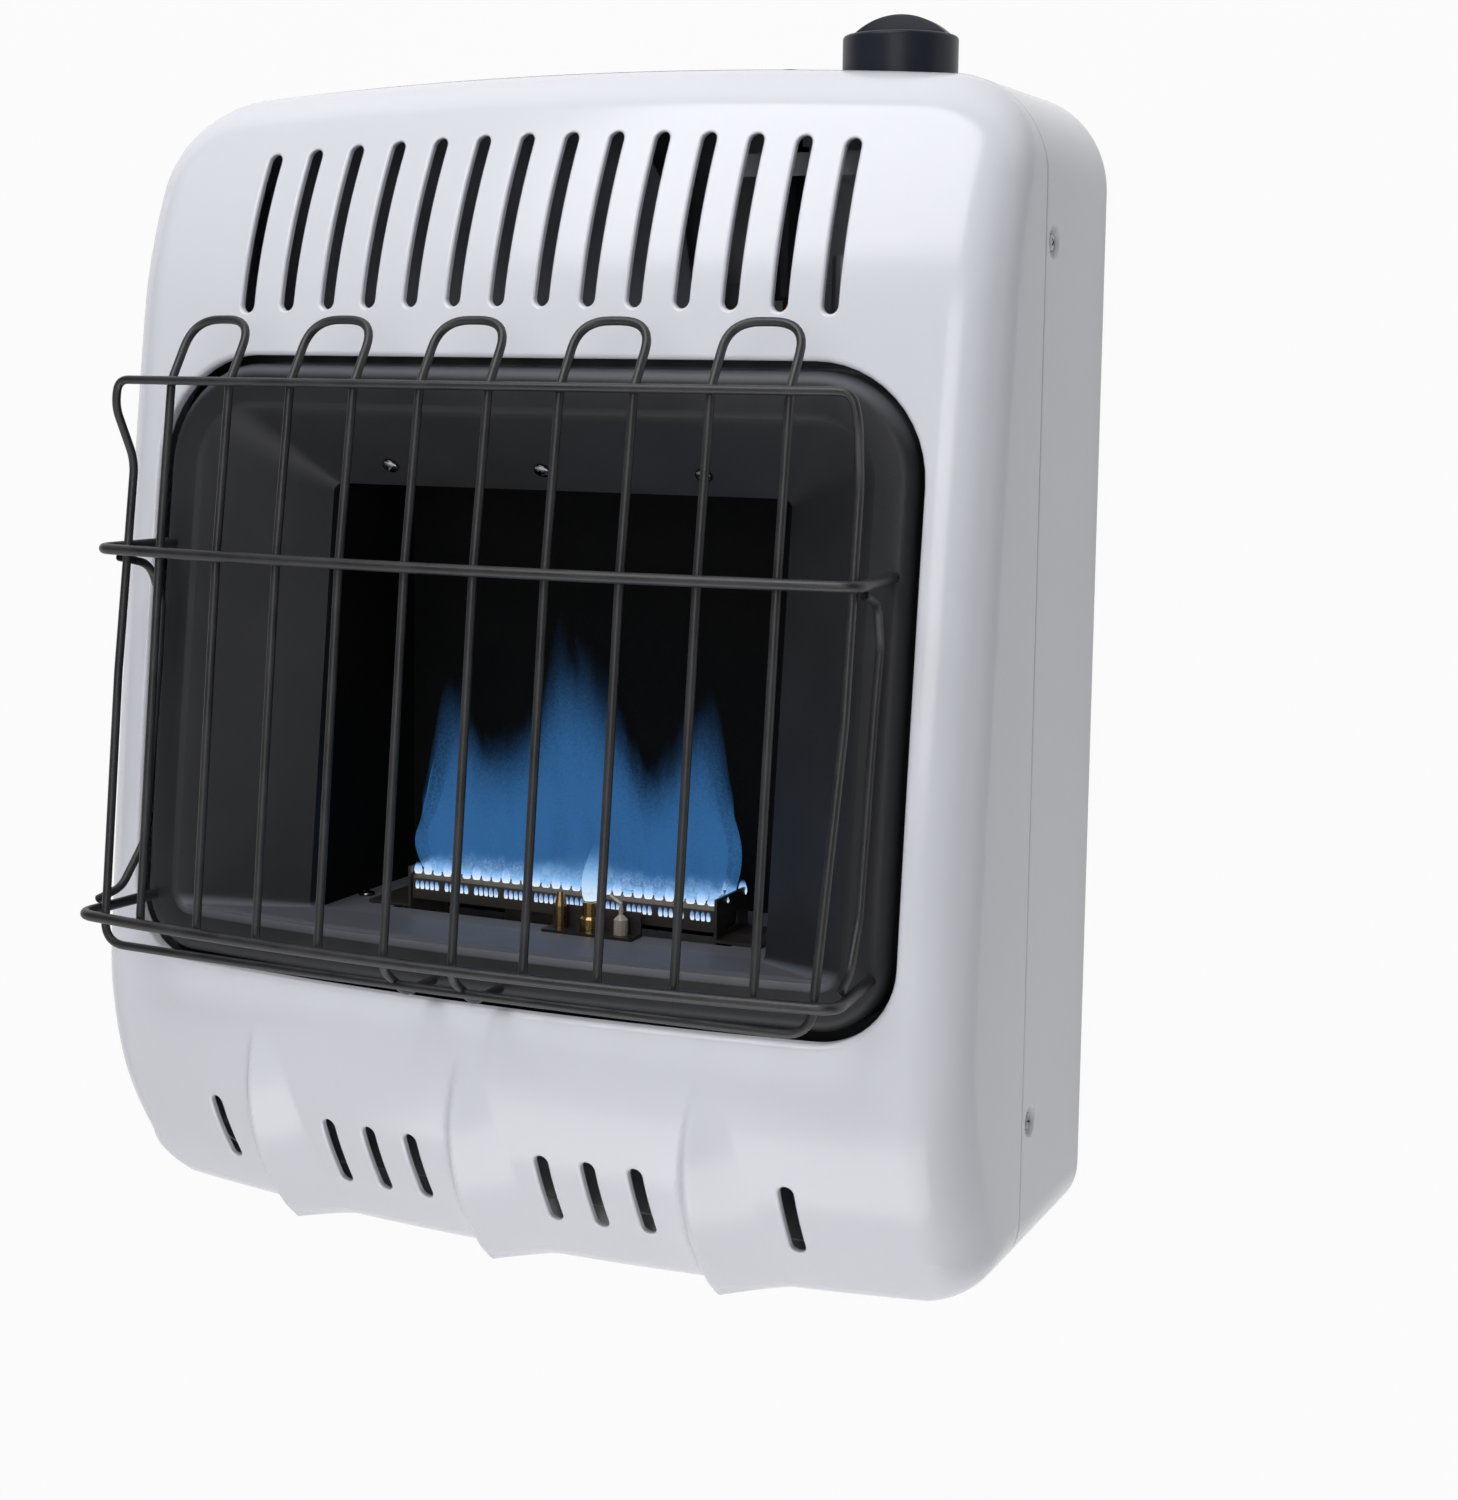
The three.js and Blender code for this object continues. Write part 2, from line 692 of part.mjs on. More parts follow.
// ---------------------------------------------------------------- back panel and wall bracket
const panelInset = coverSheet + clearance;
const panelFlange = 12;
const pan = { halfWide: 90, low: shelfHeight - 47, high: shelfHeight - 7, depth: 5 };
const hookPlaces = [-60, 60];
const hookWidth = 24;
const hookSlotTop = pan.high - 15;
const hookSlotHeight = 13;
const bracketPlate = 1.6;
const beadDepth = 5;              // the upright beads that stiffen the panel
const beadWidth = 16;

function backPanel() {
  const tray = cut(
    bodyPrism(panelInset, 0, -panelFlange),
    bodyPrism(panelInset + coverSheet, -coverSheet, -panelFlange - 1),
  );
  const panOuter = block(
    [-pan.halfWide - coverSheet, -pan.depth - coverSheet, pan.low - coverSheet],
    [pan.halfWide + coverSheet, 0, pan.high + coverSheet],
  );
  const panInner = block([-pan.halfWide, -pan.depth, pan.low], [pan.halfWide, 1, pan.high]);
  const hookSlots = hookPlaces.map((x) => block(
    [x - hookWidth / 2 - 2, -pan.depth - 3, hookSlotTop - hookSlotHeight],
    [x + hookWidth / 2 + 2, 0, hookSlotTop],
  ));
  const bead = (x, inset) => slotShape(
    x,
    boxBottom + inset,
    windowTop - 9.9 - inset,
    beadWidth - 2 * inset,
  );
  const beadsOut = [-130, 130].map((x) => extrudeForward(bead(x, 0), 0, beadDepth));
  const beadsIn = [-130, 130].map((x) => (
    extrudeForward(bead(x, coverSheet), 1, beadDepth - coverSheet + 1)
  ));
  const wallHoles = [-150, 150].map((x) => extrudeForward(slotShape(x, 56, 68, 7), 1, 4));
  const airSlots = [-60, -30, 0, 30, 60].map((x) => extrudeForward(slotShape(x, 40, 90, 8), 1, 4));
  const panel = joined(tray, panOuter, ...beadsOut);
  return cut(panel, panInner, ...beadsIn, ...hookSlots, ...wallHoles, ...airSlots);
}

function wallBracket() {
  const plate = block([-pan.halfWide + 4, -bracketPlate, pan.low + 3], [pan.halfWide - 4, 0, pan.high - 3]);
  const lipFront = -pan.depth - coverSheet - clearance - bracketPlate;
  const tabTop = hookSlotTop - clearance;
  const hooks = hookPlaces.map((x) => {
    const corner = [x - hookWidth / 2, lipFront, tabTop - bracketPlate];
    return joined(
      block(corner, [x + hookWidth / 2, -bracketPlate / 2, tabTop]),
      block(corner, [x + hookWidth / 2, lipFront + bracketPlate, tabTop + 8]),
    );
  });
  const screwSlot = (x) => slotShape(x, pan.low + 14, pan.low + 20, 6);
  const screwHoles = [-30, 0, 30].map((x) => extrudeForward(screwSlot(x), 1, 4));
  return cut(joined(plate, ...hooks), ...screwHoles);
}

addPiece('back_panel', toGeometry(backPanel()), galvanised);
addPiece('wall_bracket', toGeometry(wallBracket()), galvanised);

// ---------------------------------------------------------------- firebox bezel
function openingDepthAt(z) {
  return THREE.MathUtils.mapLinear(z, openingBottom, openingTop, openingDepthBottom, openingDepthTop);
}

function openingOutline(outset) {
  return roundedRectangle(
    openingHalfWidth + outset,
    openingBottom - outset,
    openingTop + outset,
    openingRadius + outset,
    openingRadius + outset,
  );
}

function bezelFront(x, z) {
  return -(faceDepth(x, z) - bezelRecess);
}

function fireboxBezel() {
  const ringIn = (inset, back) => windowOutline(bezelGap + inset)
    .map((p) => at(p.x, bezelFront(p.x, p.z) + back, p.z));
  const ringOpen = (outset, back) => openingOutline(outset)
    .map((p) => at(p.x, -openingDepthAt(p.z) + back, p.z));
  const t = fireboxSheet;
  const turn = bezelRoll * (1 - Math.SQRT1_2);
  const frontSkin = [
    ringIn(0, bezelSkirt),
    ringIn(0, bezelRoll),
    ringIn(turn, turn),
    ringIn(bezelRoll, 0),
    ringIn(bezelRoll + bezelLand, 0),
    ringIn(bezelRoll + bezelLand + 2.5, 1.8),
    ringOpen(0, 0),
    ringOpen(0, openingCollar),
  ];
  const backSkin = [
    ringIn(t, bezelSkirt),
    ringIn(t, bezelRoll),
    ringIn(turn + t * Math.SQRT1_2, turn + t * Math.SQRT1_2),
    ringIn(bezelRoll, t),
    ringIn(bezelRoll + bezelLand - 0.4 * t, t),
    ringIn(bezelRoll + bezelLand + 2.5 - 0.7 * t, 1.8 + 0.8 * t),
    ringOpen(t, 0.5 * t),
    ringOpen(t, openingCollar),
  ];
  const rodHoles = [-1, 1].flatMap((side) => [middleRodHeight, lowerRodHeight].map((height) => {
    const hole = cylinder(rodHoleRadius, -20, 20, 10);
    return aimed(hole, at(0, 1, 0), at(side * rodHoleX, bezelFront(rodHoleX, height), height));
  }));
  return cut(loft([...frontSkin, ...backSkin.reverse()], true), ...rodHoles, ...bezelScrewHoles());
}

// the three screws in the upper funnel panel, which hold the bezel to the combustion box
const bezelScrewPlaces = [-72, 0, 72];

function upperPanelPoint(x, share) {
  const inset = bezelGap + bezelRoll + bezelLand + 2.5;
  const top = windowTop - inset;
  const upperReach = windowHalfWidth - windowUpperRadius;
  const reach = THREE.MathUtils.lerp(upperReach, openingHalfWidth - openingRadius, share);
  const front = bezelFront((x / reach) * upperReach, top) + 1.8;
  return at(
    x,
    THREE.MathUtils.lerp(front, -openingDepthTop, share),
    THREE.MathUtils.lerp(top, openingTop, share),
  );
}

const bezelScrewShare = 0.72;
const braceGap = 0.8;             // the curved panel and the brace behind it are screwed with this play

function upperPanelNormal(x) {
  const along = upperPanelPoint(x, 1).sub(upperPanelPoint(x, 0));
  return along.cross(at(1, 0, 0)).normalize();
}

function bezelScrewHoles() {
  return bezelScrewPlaces.map((x) => aimed(
    cylinder(screwHoleRadius, -4, 4, 10),
    upperPanelNormal(x),
    upperPanelPoint(x, bezelScrewShare),
  ));
}

addPiece('firebox_bezel', toGeometry(fireboxBezel()), charcoalPaint);
bezelScrewPlaces.forEach((x, index) => {
  const outward = upperPanelNormal(x);
  const seat = upperPanelPoint(x, bezelScrewShare);
  addPiece(`bezel_screw_${index + 1}`, screwAt(seat, outward, 6), screwPlate);
});

// ---------------------------------------------------------------- combustion box
const boxInner = openingHalfWidth + fireboxSheet + clearance;
const boxOuter = boxInner + fireboxSheet;
const trayTop = openingBottom - fireboxSheet - clearance;
const trayScrewX = boxInner - 5;
const trayScrewDepth = 95;

function trayScrewHoles() {
  return [-1, 1].map((side) => cylinder(screwHoleRadius, trayTop - 20, trayTop + 5, 10)
    .translate([side * trayScrewX, -trayScrewDepth, 0]));
}

function combustionBox() {
  const collarBack = (z) => -openingDepthAt(z) + clearance + 1;
  const plan = rectangle(-boxOuter, -140, boxOuter, -boxBackDepth + fireboxSheet);
  const hollow = rectangle(-boxInner, -141, boxInner, -boxBackDepth);
  const boxHeight = boxTop - boxBottom;
  const walls = cut(
    extrudeUp(plan, boxBottom, boxHeight),
    extrudeUp(hollow, boxBottom - 1, boxHeight + 2),
  );
  const slope = polygon([
    [-200, boxBottom - 40], [collarBack(boxBottom - 40), boxBottom - 40],
    [collarBack(boxTop + 20), boxTop + 20], [-200, boxTop + 20],
  ]);
  const trimmed = cut(walls, extrudeRight(slope, -150, 300));
  const ledges = [-1, 1].map((side) => {
    const inside = side * (boxInner - 9);
    const outside = side * (boxInner + fireboxSheet / 2);
    return block(
      [Math.min(inside, outside), -118, trayTop - trayThickness - clearance - fireboxSheet],
      [Math.max(inside, outside), -boxBackDepth + fireboxSheet / 2, trayTop - trayThickness - clearance],
    );
  });
  const legs = [-1, 1].map((side) => {
    const inside = side * boxInner;
    const outside = side * boxOuter;
    const foot = side * (boxOuter + 12);
    const rear = -coverSheet - clearance;
    const low = boxBottom + 80;
    const high = low + 100;
    return joined(
      block([Math.min(inside, outside), -boxBackDepth, low], [Math.max(inside, outside), rear, high]),
      block([Math.min(inside, foot), rear - fireboxSheet, low], [Math.max(inside, foot), rear, high]),
    );
  });
  return cut(joined(trimmed, ...ledges, ...legs, upperBrace()), ...trayScrewHoles());
}

// a strip behind the upper funnel panel that takes the bezel screws
function upperBrace() {
  const near = fireboxSheet + braceGap;
  const far = near + fireboxSheet;
  const behind = (x, share, distance) => (
    upperPanelPoint(x, share).addScaledVector(upperPanelNormal(x), -distance)
  );
  const stations = [-1, -0.75, -0.5, -0.25, 0, 0.25, 0.5, 0.75, 1].map((share) => share * boxOuter);
  const strip = loft(stations.map((x) => [
    behind(x, 0.5, near), behind(x, 0.95, near), behind(x, 0.95, far), behind(x, 0.5, far),
  ]));
  const cheeks = [-1, 1].map((side) => {
    const flat = (share, distance) => {
      const point = behind(side * boxInner, share, distance);
      return [point.y, point.z];
    };
    const outline = polygon([
      flat(0.5, near + 0.2), flat(0.95, near + 0.2), [-openingDepthTop + 12, openingTop + 4],
      [-openingDepthTop + 12, boxTop], flat(0.5, far),
    ]);
    return extrudeRight(outline, side > 0 ? boxInner : -boxOuter, fireboxSheet);
  });
  return cut(joined(strip, ...cheeks), ...bezelScrewHoles());
}

addPiece('combustion_box', toGeometry(combustionBox()), blackPaint);

// ---------------------------------------------------------------- heat deflector behind the upper slots
const deflectorLeft = -168;
const deflectorRight = 46;
const deflectorTop = crownHeight - 13;

function heatDeflector() {
  const t = fireboxSheet;
  const foot = at(0, -boxBackDepth - 12, boxTop + clearance);
  const sheet = (offset) => {
    const curve = new THREE.CubicBezierCurve(
      new THREE.Vector2(foot.y + offset, foot.z),
      new THREE.Vector2(foot.y + offset, deflectorTop - 67.7),
      new THREE.Vector2(foot.y - 6 + offset, deflectorTop - 23.7),
      new THREE.Vector2(foot.y - 34 + offset, deflectorTop + offset * 0.7),
    );
    return curve.getPoints(8).map((point) => [point.x, point.y]);
  };
  const profile = polygon([...sheet(0), ...sheet(t).reverse()]);
  const length = deflectorRight - deflectorLeft;
  const plate = extrudeRight(profile, deflectorLeft, length);
  const trim = new THREE.Shape();
  trim.moveTo(deflectorRight + 1, foot.z - 2);
  trim.lineTo(deflectorRight + 1, deflectorTop + 6);
  trim.lineTo(deflectorRight - 34, deflectorTop + 6);
  trim.quadraticCurveTo(deflectorRight - 4, deflectorTop - 34, deflectorRight - 4, foot.z - 2);
  const footStrip = block(
    [-boxInner + 1, foot.y, foot.z],
    [deflectorRight - 6, -boxBackDepth + 1, foot.z + t],
  );
  return joined(cut(plate, extrudeForward(trim, 0, 200)), footStrip);
}

addPiece('heat_deflector', toGeometry(heatDeflector()), charcoalPaint);

// ---------------------------------------------------------------- floor tray
const trayHalf = boxInner - clearance;
const trayFront = openingDepthBottom - 9;
const trayOpening = { halfWide: 80, front: burnerDepth + 18, back: burnerDepth - 22 };
const pilotX = 20;
const pilotDepth = burnerDepth + burnerWidth / 2 + 10;
const electrodeX = pilotX + 14;
const thermocoupleX = pilotX - 14;
const pilotBodyRadius = 4.5;
const electrodeRadius = 3;
const probeRadius = 2.6;

function pilotHoles(low, high) {
  return [[pilotX, pilotBodyRadius], [electrodeX, electrodeRadius], [thermocoupleX, probeRadius]]
    .map(([x, radius]) => cylinder(radius + clearance, low, high, 12).translate([x, -pilotDepth, 0]));
}

function floorTray() {
  const low = trayTop - trayThickness;
  const plate = block([-trayHalf, -trayFront, low], [trayHalf, -boxBackDepth - clearance, trayTop]);
  const nose = block([-trayHalf, -trayFront, low - 7], [trayHalf, -trayFront + trayThickness, trayTop]);
  const burnerHole = block(
    [-trayOpening.halfWide, -trayOpening.front, low - 1],
    [trayOpening.halfWide, -trayOpening.back, trayTop + 1],
  );
  return cut(joined(plate, nose), burnerHole, ...trayScrewHoles(), ...pilotHoles(low - 10, trayTop + 5));
}

addPiece('floor_tray', toGeometry(floorTray()), charcoalPaint);

// ---------------------------------------------------------------- burner
const headHalf = burnerWidth / 2;

function burner() {
  const headLow = burnerTop - burnerHeadHeight;
  const headShape = polygon([
    [-headHalf, headLow], [headHalf, headLow], [headHalf, burnerTop - 3],
    [headHalf - 3, burnerTop], [-headHalf + 3, burnerTop], [-headHalf, burnerTop - 3],
  ]);
  const head = extrudeRight(headShape, -burnerHalfLength, 2 * burnerHalfLength);
  const hollow = extrudeRight(
    rectangle(-headHalf + mixerWall, headLow + mixerWall, headHalf - mixerWall, burnerTop - 3 - mixerWall),
    -burnerHalfLength + mixerWall,
    2 * (burnerHalfLength - mixerWall),
  );
  const alongX = at(1, 0, 0);
  const mixerLeft = -30;
  const mixerRight = burnerHalfLength - 4;
  const flaredPipe = (radius, left, right) => aimed(turned([
    [0, left], [radius, left], [radius, mixerRight - 6], [radius + 2, right], [0, right],
  ], 16), alongX, at(0, 0, mixerHeight));
  const mixer = flaredPipe(mixerRadius, mixerLeft, mixerRight);
  const mixerBore = flaredPipe(mixerRadius - mixerWall, mixerLeft + 1, mixerRight + 1);
  const neck = block([mixerLeft, -8, mixerHeight], [-6, 8, headLow + 1]);
  const neckBore = block([mixerLeft + 2, -7, mixerHeight], [-8, 7, headLow + mixerWall + 1]);
  const ports = [];
  for (let index = 0; index < portCount; index += 1) {
    const x = THREE.MathUtils.lerp(-burnerHalfLength + 7, burnerHalfLength - 7, index / (portCount - 1));
    ports.push(block([x - 2.2, -headHalf + 4, burnerTop - 5], [x + 2.2, headHalf - 4, burnerTop + 1]));
  }
  const body = cut(joined(head, mixer, neck), hollow, mixerBore, neckBore, ...ports);
  return body.translate([0, -burnerDepth, 0]);
}

addPiece('burner', toGeometry(burner()), stainless);

// ---------------------------------------------------------------- burner brackets and injector
function burnerBracket(side) {
  const face = burnerHalfLength + clearance;
  const footTop = trayTop + clearance + bracketSheet;
  const low = side > 0 ? mixerHeight - 8 : trayTop - 6;
  const outline = rectangle(-headHalf - 1, low, headHalf + 1, burnerTop + 2);
  const plate = extrudeRight(outline, face, bracketSheet);
  const foot = block(
    [face, -headHalf - 1, trayTop + clearance],
    [trayOpening.halfWide + 13, headHalf + 1, footTop],
  );
  const windowInPlate = block([face - 1, -6, trayTop + 4], [face + 3, 6, burnerTop - 6]);
  const injectorHole = aimed(cylinder(5 + clearance, -10, 20, 16), at(1, 0, 0), at(face, 0, mixerHeight));
  const right = cut(joined(plate, foot), windowInPlate, injectorHole);
  const placed = side > 0 ? right : right.mirror([1, 0, 0]);
  return placed.translate([0, -burnerDepth, 0]);
}

function injector() {
  const face = burnerHalfLength + clearance;
  const hexLow = face + bracketSheet + clearance;
  const nose = turned([
    [0, face - 13], [2.4, face - 13], [5, face - 9], [5, hexLow], [0, hexLow],
  ], 12);
  const hex = toSolid(new THREE.ExtrudeGeometry(hexagon(14), flatExtrusion(11))).translate([0, 0, hexLow]);
  const bore = cylinder(4.2 + clearance, hexLow + 3, hexLow + 20, 12);
  return aimed(cut(joined(nose, hex), bore), at(1, 0, 0), at(0, -burnerDepth, mixerHeight));
}

addPiece('burner_bracket_left', toGeometry(burnerBracket(-1)), stainless);
addPiece('burner_bracket_right', toGeometry(burnerBracket(1)), stainless);
addPiece('gas_injector', toGeometry(injector()), brass);

// ---------------------------------------------------------------- pilot with flame probe and spark electrode
const pilotFoot = trayTop + clearance;
const pilotTop = openingBottom + 12.5;
const pilotBottom = openingBottom - 16.5;

function pilotBracket() {
  const back = -pilotDepth + 5.5;
  const foot = block(
    [thermocoupleX - 6, -pilotDepth - 6, pilotFoot],
    [electrodeX + 7, back, pilotFoot + bracketSheet],
  );
  const web = block(
    [thermocoupleX - 6, back - bracketSheet, pilotFoot],
    [electrodeX + 7, back, pilotFoot + 10],
  );
  return cut(joined(foot, web), ...pilotHoles(pilotFoot - 5, pilotFoot + 20));
}

function pilotBurner() {
  const body = turned([
    [0, pilotBottom], [pilotBodyRadius, pilotBottom], [pilotBodyRadius, pilotTop - 7],
    [3.4, pilotTop - 6], [3.4, pilotTop], [0, pilotTop],
  ], 12);
  const mouth = cylinder(2.2, pilotTop - 5, pilotTop + 3, 10);
  const sideMouth = block([-8, -1.6, pilotTop - 4], [0, 1.6, pilotTop + 1]);
  return aimed(cut(body, mouth, sideMouth), at(0, 0, 1), at(pilotX, -pilotDepth, 0));
}

function sparkElectrode() {
  const insulator = turned([
    [0, pilotBottom + 4], [electrodeRadius, pilotBottom + 4], [electrodeRadius, pilotTop - 6],
    [1, pilotTop - 4], [1, pilotTop - 1.5], [0, pilotTop - 1.5],
  ], 12);
  const tip = wire([at(0, 0, pilotTop - 3), at(0, 0, pilotTop + 0.5), at(-5, 0, pilotTop + 3.5)], 0.9, 6);
  return joined(insulator, tip).translate([electrodeX, -pilotDepth, 0]);
}

const risePlane = -102;           // depth where the small tubes climb beside the combustion box
const probeLeadX = boxOuter + 3.7;
const sparkLeadX = probeLeadX + 4.2;
const pilotTubeX = sparkLeadX + 5.3;

function thermocouple() {
  const probe = turned([
    [0, pilotBottom - 2], [probeRadius, pilotBottom - 2],
    [probeRadius, pilotTop - 3], [1.6, pilotTop + 3], [0, pilotTop + 3],
  ], 12);
  const lead = wire(bent([
    at(0, 0, pilotBottom),
    at(0, 0, pilotBottom - 20),
    at(probeLeadX - thermocoupleX, 0, pilotBottom - 20),
    at(probeLeadX - thermocoupleX, pilotDepth + risePlane, pilotBottom - 8),
    at(probeLeadX - thermocoupleX, pilotDepth + risePlane, valveLow - 12),
    at(valvePortX(0) - thermocoupleX, pilotDepth - valvePortDepth(0), valveLow - 6),
    at(valvePortX(0) - thermocoupleX, pilotDepth - valvePortDepth(0), valveLow - clearance),
  ], 8, 2), 1.5, 5);
  return joined(probe, lead).translate([thermocoupleX, -pilotDepth, 0]);
}

// ---------------------------------------------------------------- gas valve, shelf and tubes
const valveHigh = shelfHeight - 40;
const valveLow = valveHigh - 60;
const valveHalf = 21;
const bossTop = shelfHeight - clearance;
const stemLow = shelfHeight - 24;
const stemHigh = knobBase + 16;

function valvePortX(index) {
  return knobX + [-12, 0, 12][index];
}

function valvePortDepth(index) {
  return knobDepth + [14, -12, 8][index];
}

function gasValve() {
  const shape = new THREE.Shape();
  const corner = 5;
  shape.moveTo(-valveHalf + corner, -valveHalf);
  shape.absarc(valveHalf - corner, -valveHalf + corner, corner, -Math.PI / 2, 0, false);
  shape.absarc(valveHalf - corner, valveHalf - corner, corner, 0, Math.PI / 2, false);
  shape.absarc(-valveHalf + corner, valveHalf - corner, corner, Math.PI / 2, Math.PI, false);
  shape.absarc(-valveHalf + corner, -valveHalf + corner, corner, Math.PI, Math.PI * 1.5, false);
  const casting = extrudeUp(shape, valveLow, valveHigh - valveLow);
  const boss = turned([
    [0, valveHigh - 1], [15, valveHigh - 1], [15, valveHigh + 8], [11, valveHigh + 12],
    [11, bossTop], [nutThread, bossTop],
    [nutThread, shelfHeight + bracketSheet + nutHeight], [0, shelfHeight + bracketSheet + nutHeight],
  ], 14);
  const bore = cylinder(stemRadius + clearance, stemLow - knobTravel - clearance, knobBase, 12);
  const magnetCap = aimed(cylinder(9, -6, 12, 12), at(0, -1, 0), at(0, -valveHalf, valveLow + 26));
  const sideCap = aimed(cylinder(7, -6, 8, 12), at(1, 0, 0), at(valveHalf, 0, valveLow + 32));
  return cut(joined(casting, boss, magnetCap, sideCap), bore).translate([knobX, -knobDepth, 0]);
}

const nutThread = 5.6;

function hexNut(across, bore, lowZ, height) {
  const body = toSolid(new THREE.ExtrudeGeometry(hexagon(across), flatExtrusion(height)));
  return cut(body, cylinder(bore, -1, height + 1, 12)).translate([0, 0, lowZ]);
}

function controlShelf() {
  const low = shelfHeight;
  const high = shelfHeight + bracketSheet;
  const rear = -coverSheet - clearance;
  const left = igniterX - 20;
  const right = 168;
  const shelf = block([left, -knobDepth - 20, low], [right, rear, high]);
  const flangeLeft = pan.halfWide + coverSheet + 1;
  const flange = block([flangeLeft, rear - bracketSheet, low - 40], [right, rear, high]);
  const nose = block([left, -knobDepth - 20, low - 8], [right, -knobDepth - 20 + bracketSheet, high]);
  const neckHole = (radius, x) => (
    cylinder(radius + clearance, low - 5, high + 5, 14).translate([x, -knobDepth, 0])
  );
  const stemHole = neckHole(nutThread, knobX);
  const igniterHole = neckHole(igniterNeckRadius, igniterX);
  const screwHoles = shelfScrewPlaces.map((x) => screwHole(at(0, 1, 0), at(x, rear, low - 24)));
  return cut(joined(shelf, flange, nose), stemHole, igniterHole, ...screwHoles);
}

const shelfScrewPlaces = [104, 156];

addPiece('gas_valve', toGeometry(gasValve()), aluminium);
addPiece('control_shelf', toGeometry(controlShelf()), galvanised);

const nutSeat = shelfHeight + bracketSheet + clearance;
const valveNut = hexNut(nutAcross, nutThread + clearance, nutSeat, nutHeight - clearance);
addPiece('valve_nut', toGeometry(valveNut.translate([knobX, -knobDepth, 0])), screwPlate);
shelfScrewPlaces.forEach((x, index) => {
  const seat = at(x, -coverSheet - clearance - bracketSheet, shelfHeight - 24);
  addPiece(`shelf_screw_${index + 1}`, screwAt(seat, at(0, -1, 0), bracketSheet), screwPlate);
});

addPiece('pilot_bracket', toGeometry(pilotBracket()), stainless);
addPiece('pilot_burner', toGeometry(pilotBurner()), brass);
addPiece('spark_electrode', toGeometry(sparkElectrode()), ceramic);
addPiece('thermocouple', toGeometry(thermocouple()), brass);

const regulatorTop = 62;
const tubeRadius = 4;

function supplyTube() {
  return wire(bent([
    at(regulatorX, -regulatorDepth, regulatorTop + clearance),
    at(regulatorX, -regulatorDepth, valveLow - 32),
    at(valvePortX(2), -valvePortDepth(2) + 20, valveLow - 16),
    at(valvePortX(2), -valvePortDepth(2) + 20, valveLow - clearance),
  ], 14, 2), tubeRadius, 6);
}

function burnerTube() {
  const injectorEnd = burnerHalfLength + clearance + bracketSheet + clearance + 3 + clearance;
  return wire(bent([
    at(injectorEnd, -burnerDepth, mixerHeight),
    at(boxOuter + 22, -burnerDepth, mixerHeight),
    at(boxOuter + 22, -70, mixerHeight + 24),
    at(boxOuter + 22, -70, valveLow - 22),
    at(valvePortX(1), -valvePortDepth(1), valveLow - 14),
    at(valvePortX(1), -valvePortDepth(1), valveLow - clearance),
  ], 14, 2), tubeRadius, 6);
}

function pilotTube() {
  return wire(bent([
    at(pilotX, -pilotDepth, pilotBottom - clearance),
    at(pilotX, -pilotDepth, pilotBottom - 14),
    at(pilotTubeX, -pilotDepth, pilotBottom - 14),
    at(pilotTubeX, risePlane, pilotBottom - 2),
    at(pilotTubeX, risePlane, valveLow - 22),
    at(valvePortX(2), -valvePortDepth(2) - 4, valveLow - 14),
    at(valvePortX(2), -valvePortDepth(2) - 4, valveLow - clearance),
  ], 8, 2), 2, 6);
}

addPiece('supply_tube', toGeometry(supplyTube()), aluminium);
addPiece('burner_tube', toGeometry(burnerTube()), aluminium);
addPiece('pilot_tube', toGeometry(pilotTube()), aluminium);

// ---------------------------------------------------------------- pressure regulator and inlet
const casingFloor = baseHeight + coverSheet;

function regulator() {
  const low = casingFloor + clearance;
  const foot = extrudeUp(rectangle(-24, -18, 24, 18), low, 3);
  const body = turned([
    [0, low + 2], [15, low + 2], [regulatorRadius, low + 14], [regulatorRadius, low + 26],
    [19, low + 30], [19, low + 40], [9, low + 43], [9, regulatorTop], [0, regulatorTop],
  ], 16);
  const inlet = cylinder(9, low - 1, low + 12, 14);
  const outlet = cylinder(tubeRadius + clearance, regulatorTop - 6, regulatorTop + 1, 12);
  return cut(joined(foot, body), inlet, outlet).translate([regulatorX, -regulatorDepth, 0]);
}

function inletFitting() {
  const thread = 9 - clearance;
  const body = turned([
    [0, 0.6], [5.6, 0.6], [7.6, 3.2], [7.6, casingFloor], [thread, casingFloor + 1],
    [thread, casingFloor + 11], [0, casingFloor + 11],
  ], 16);
  const bore = cylinder(3.6, -1, casingFloor + 20, 12);
  return cut(body, bore).translate([regulatorX, -regulatorDepth, 0]);
}

addPiece('gas_regulator', toGeometry(regulator()), aluminium);
addPiece('inlet_fitting', toGeometry(inletFitting()), brass);

// ---------------------------------------------------------------- control knob on its stem
function stemShape(growth) {
  const radius = stemRadius + growth;
  const angle = Math.acos(stemFlat / stemRadius);
  const shape = new THREE.Shape();
  shape.absarc(0, 0, radius, angle, 2 * Math.PI - angle, false);
  return shape;
}

const collarLow = shelfHeight + bracketSheet + nutHeight + clearance;
const collarHigh = collarLow + collarHeight;

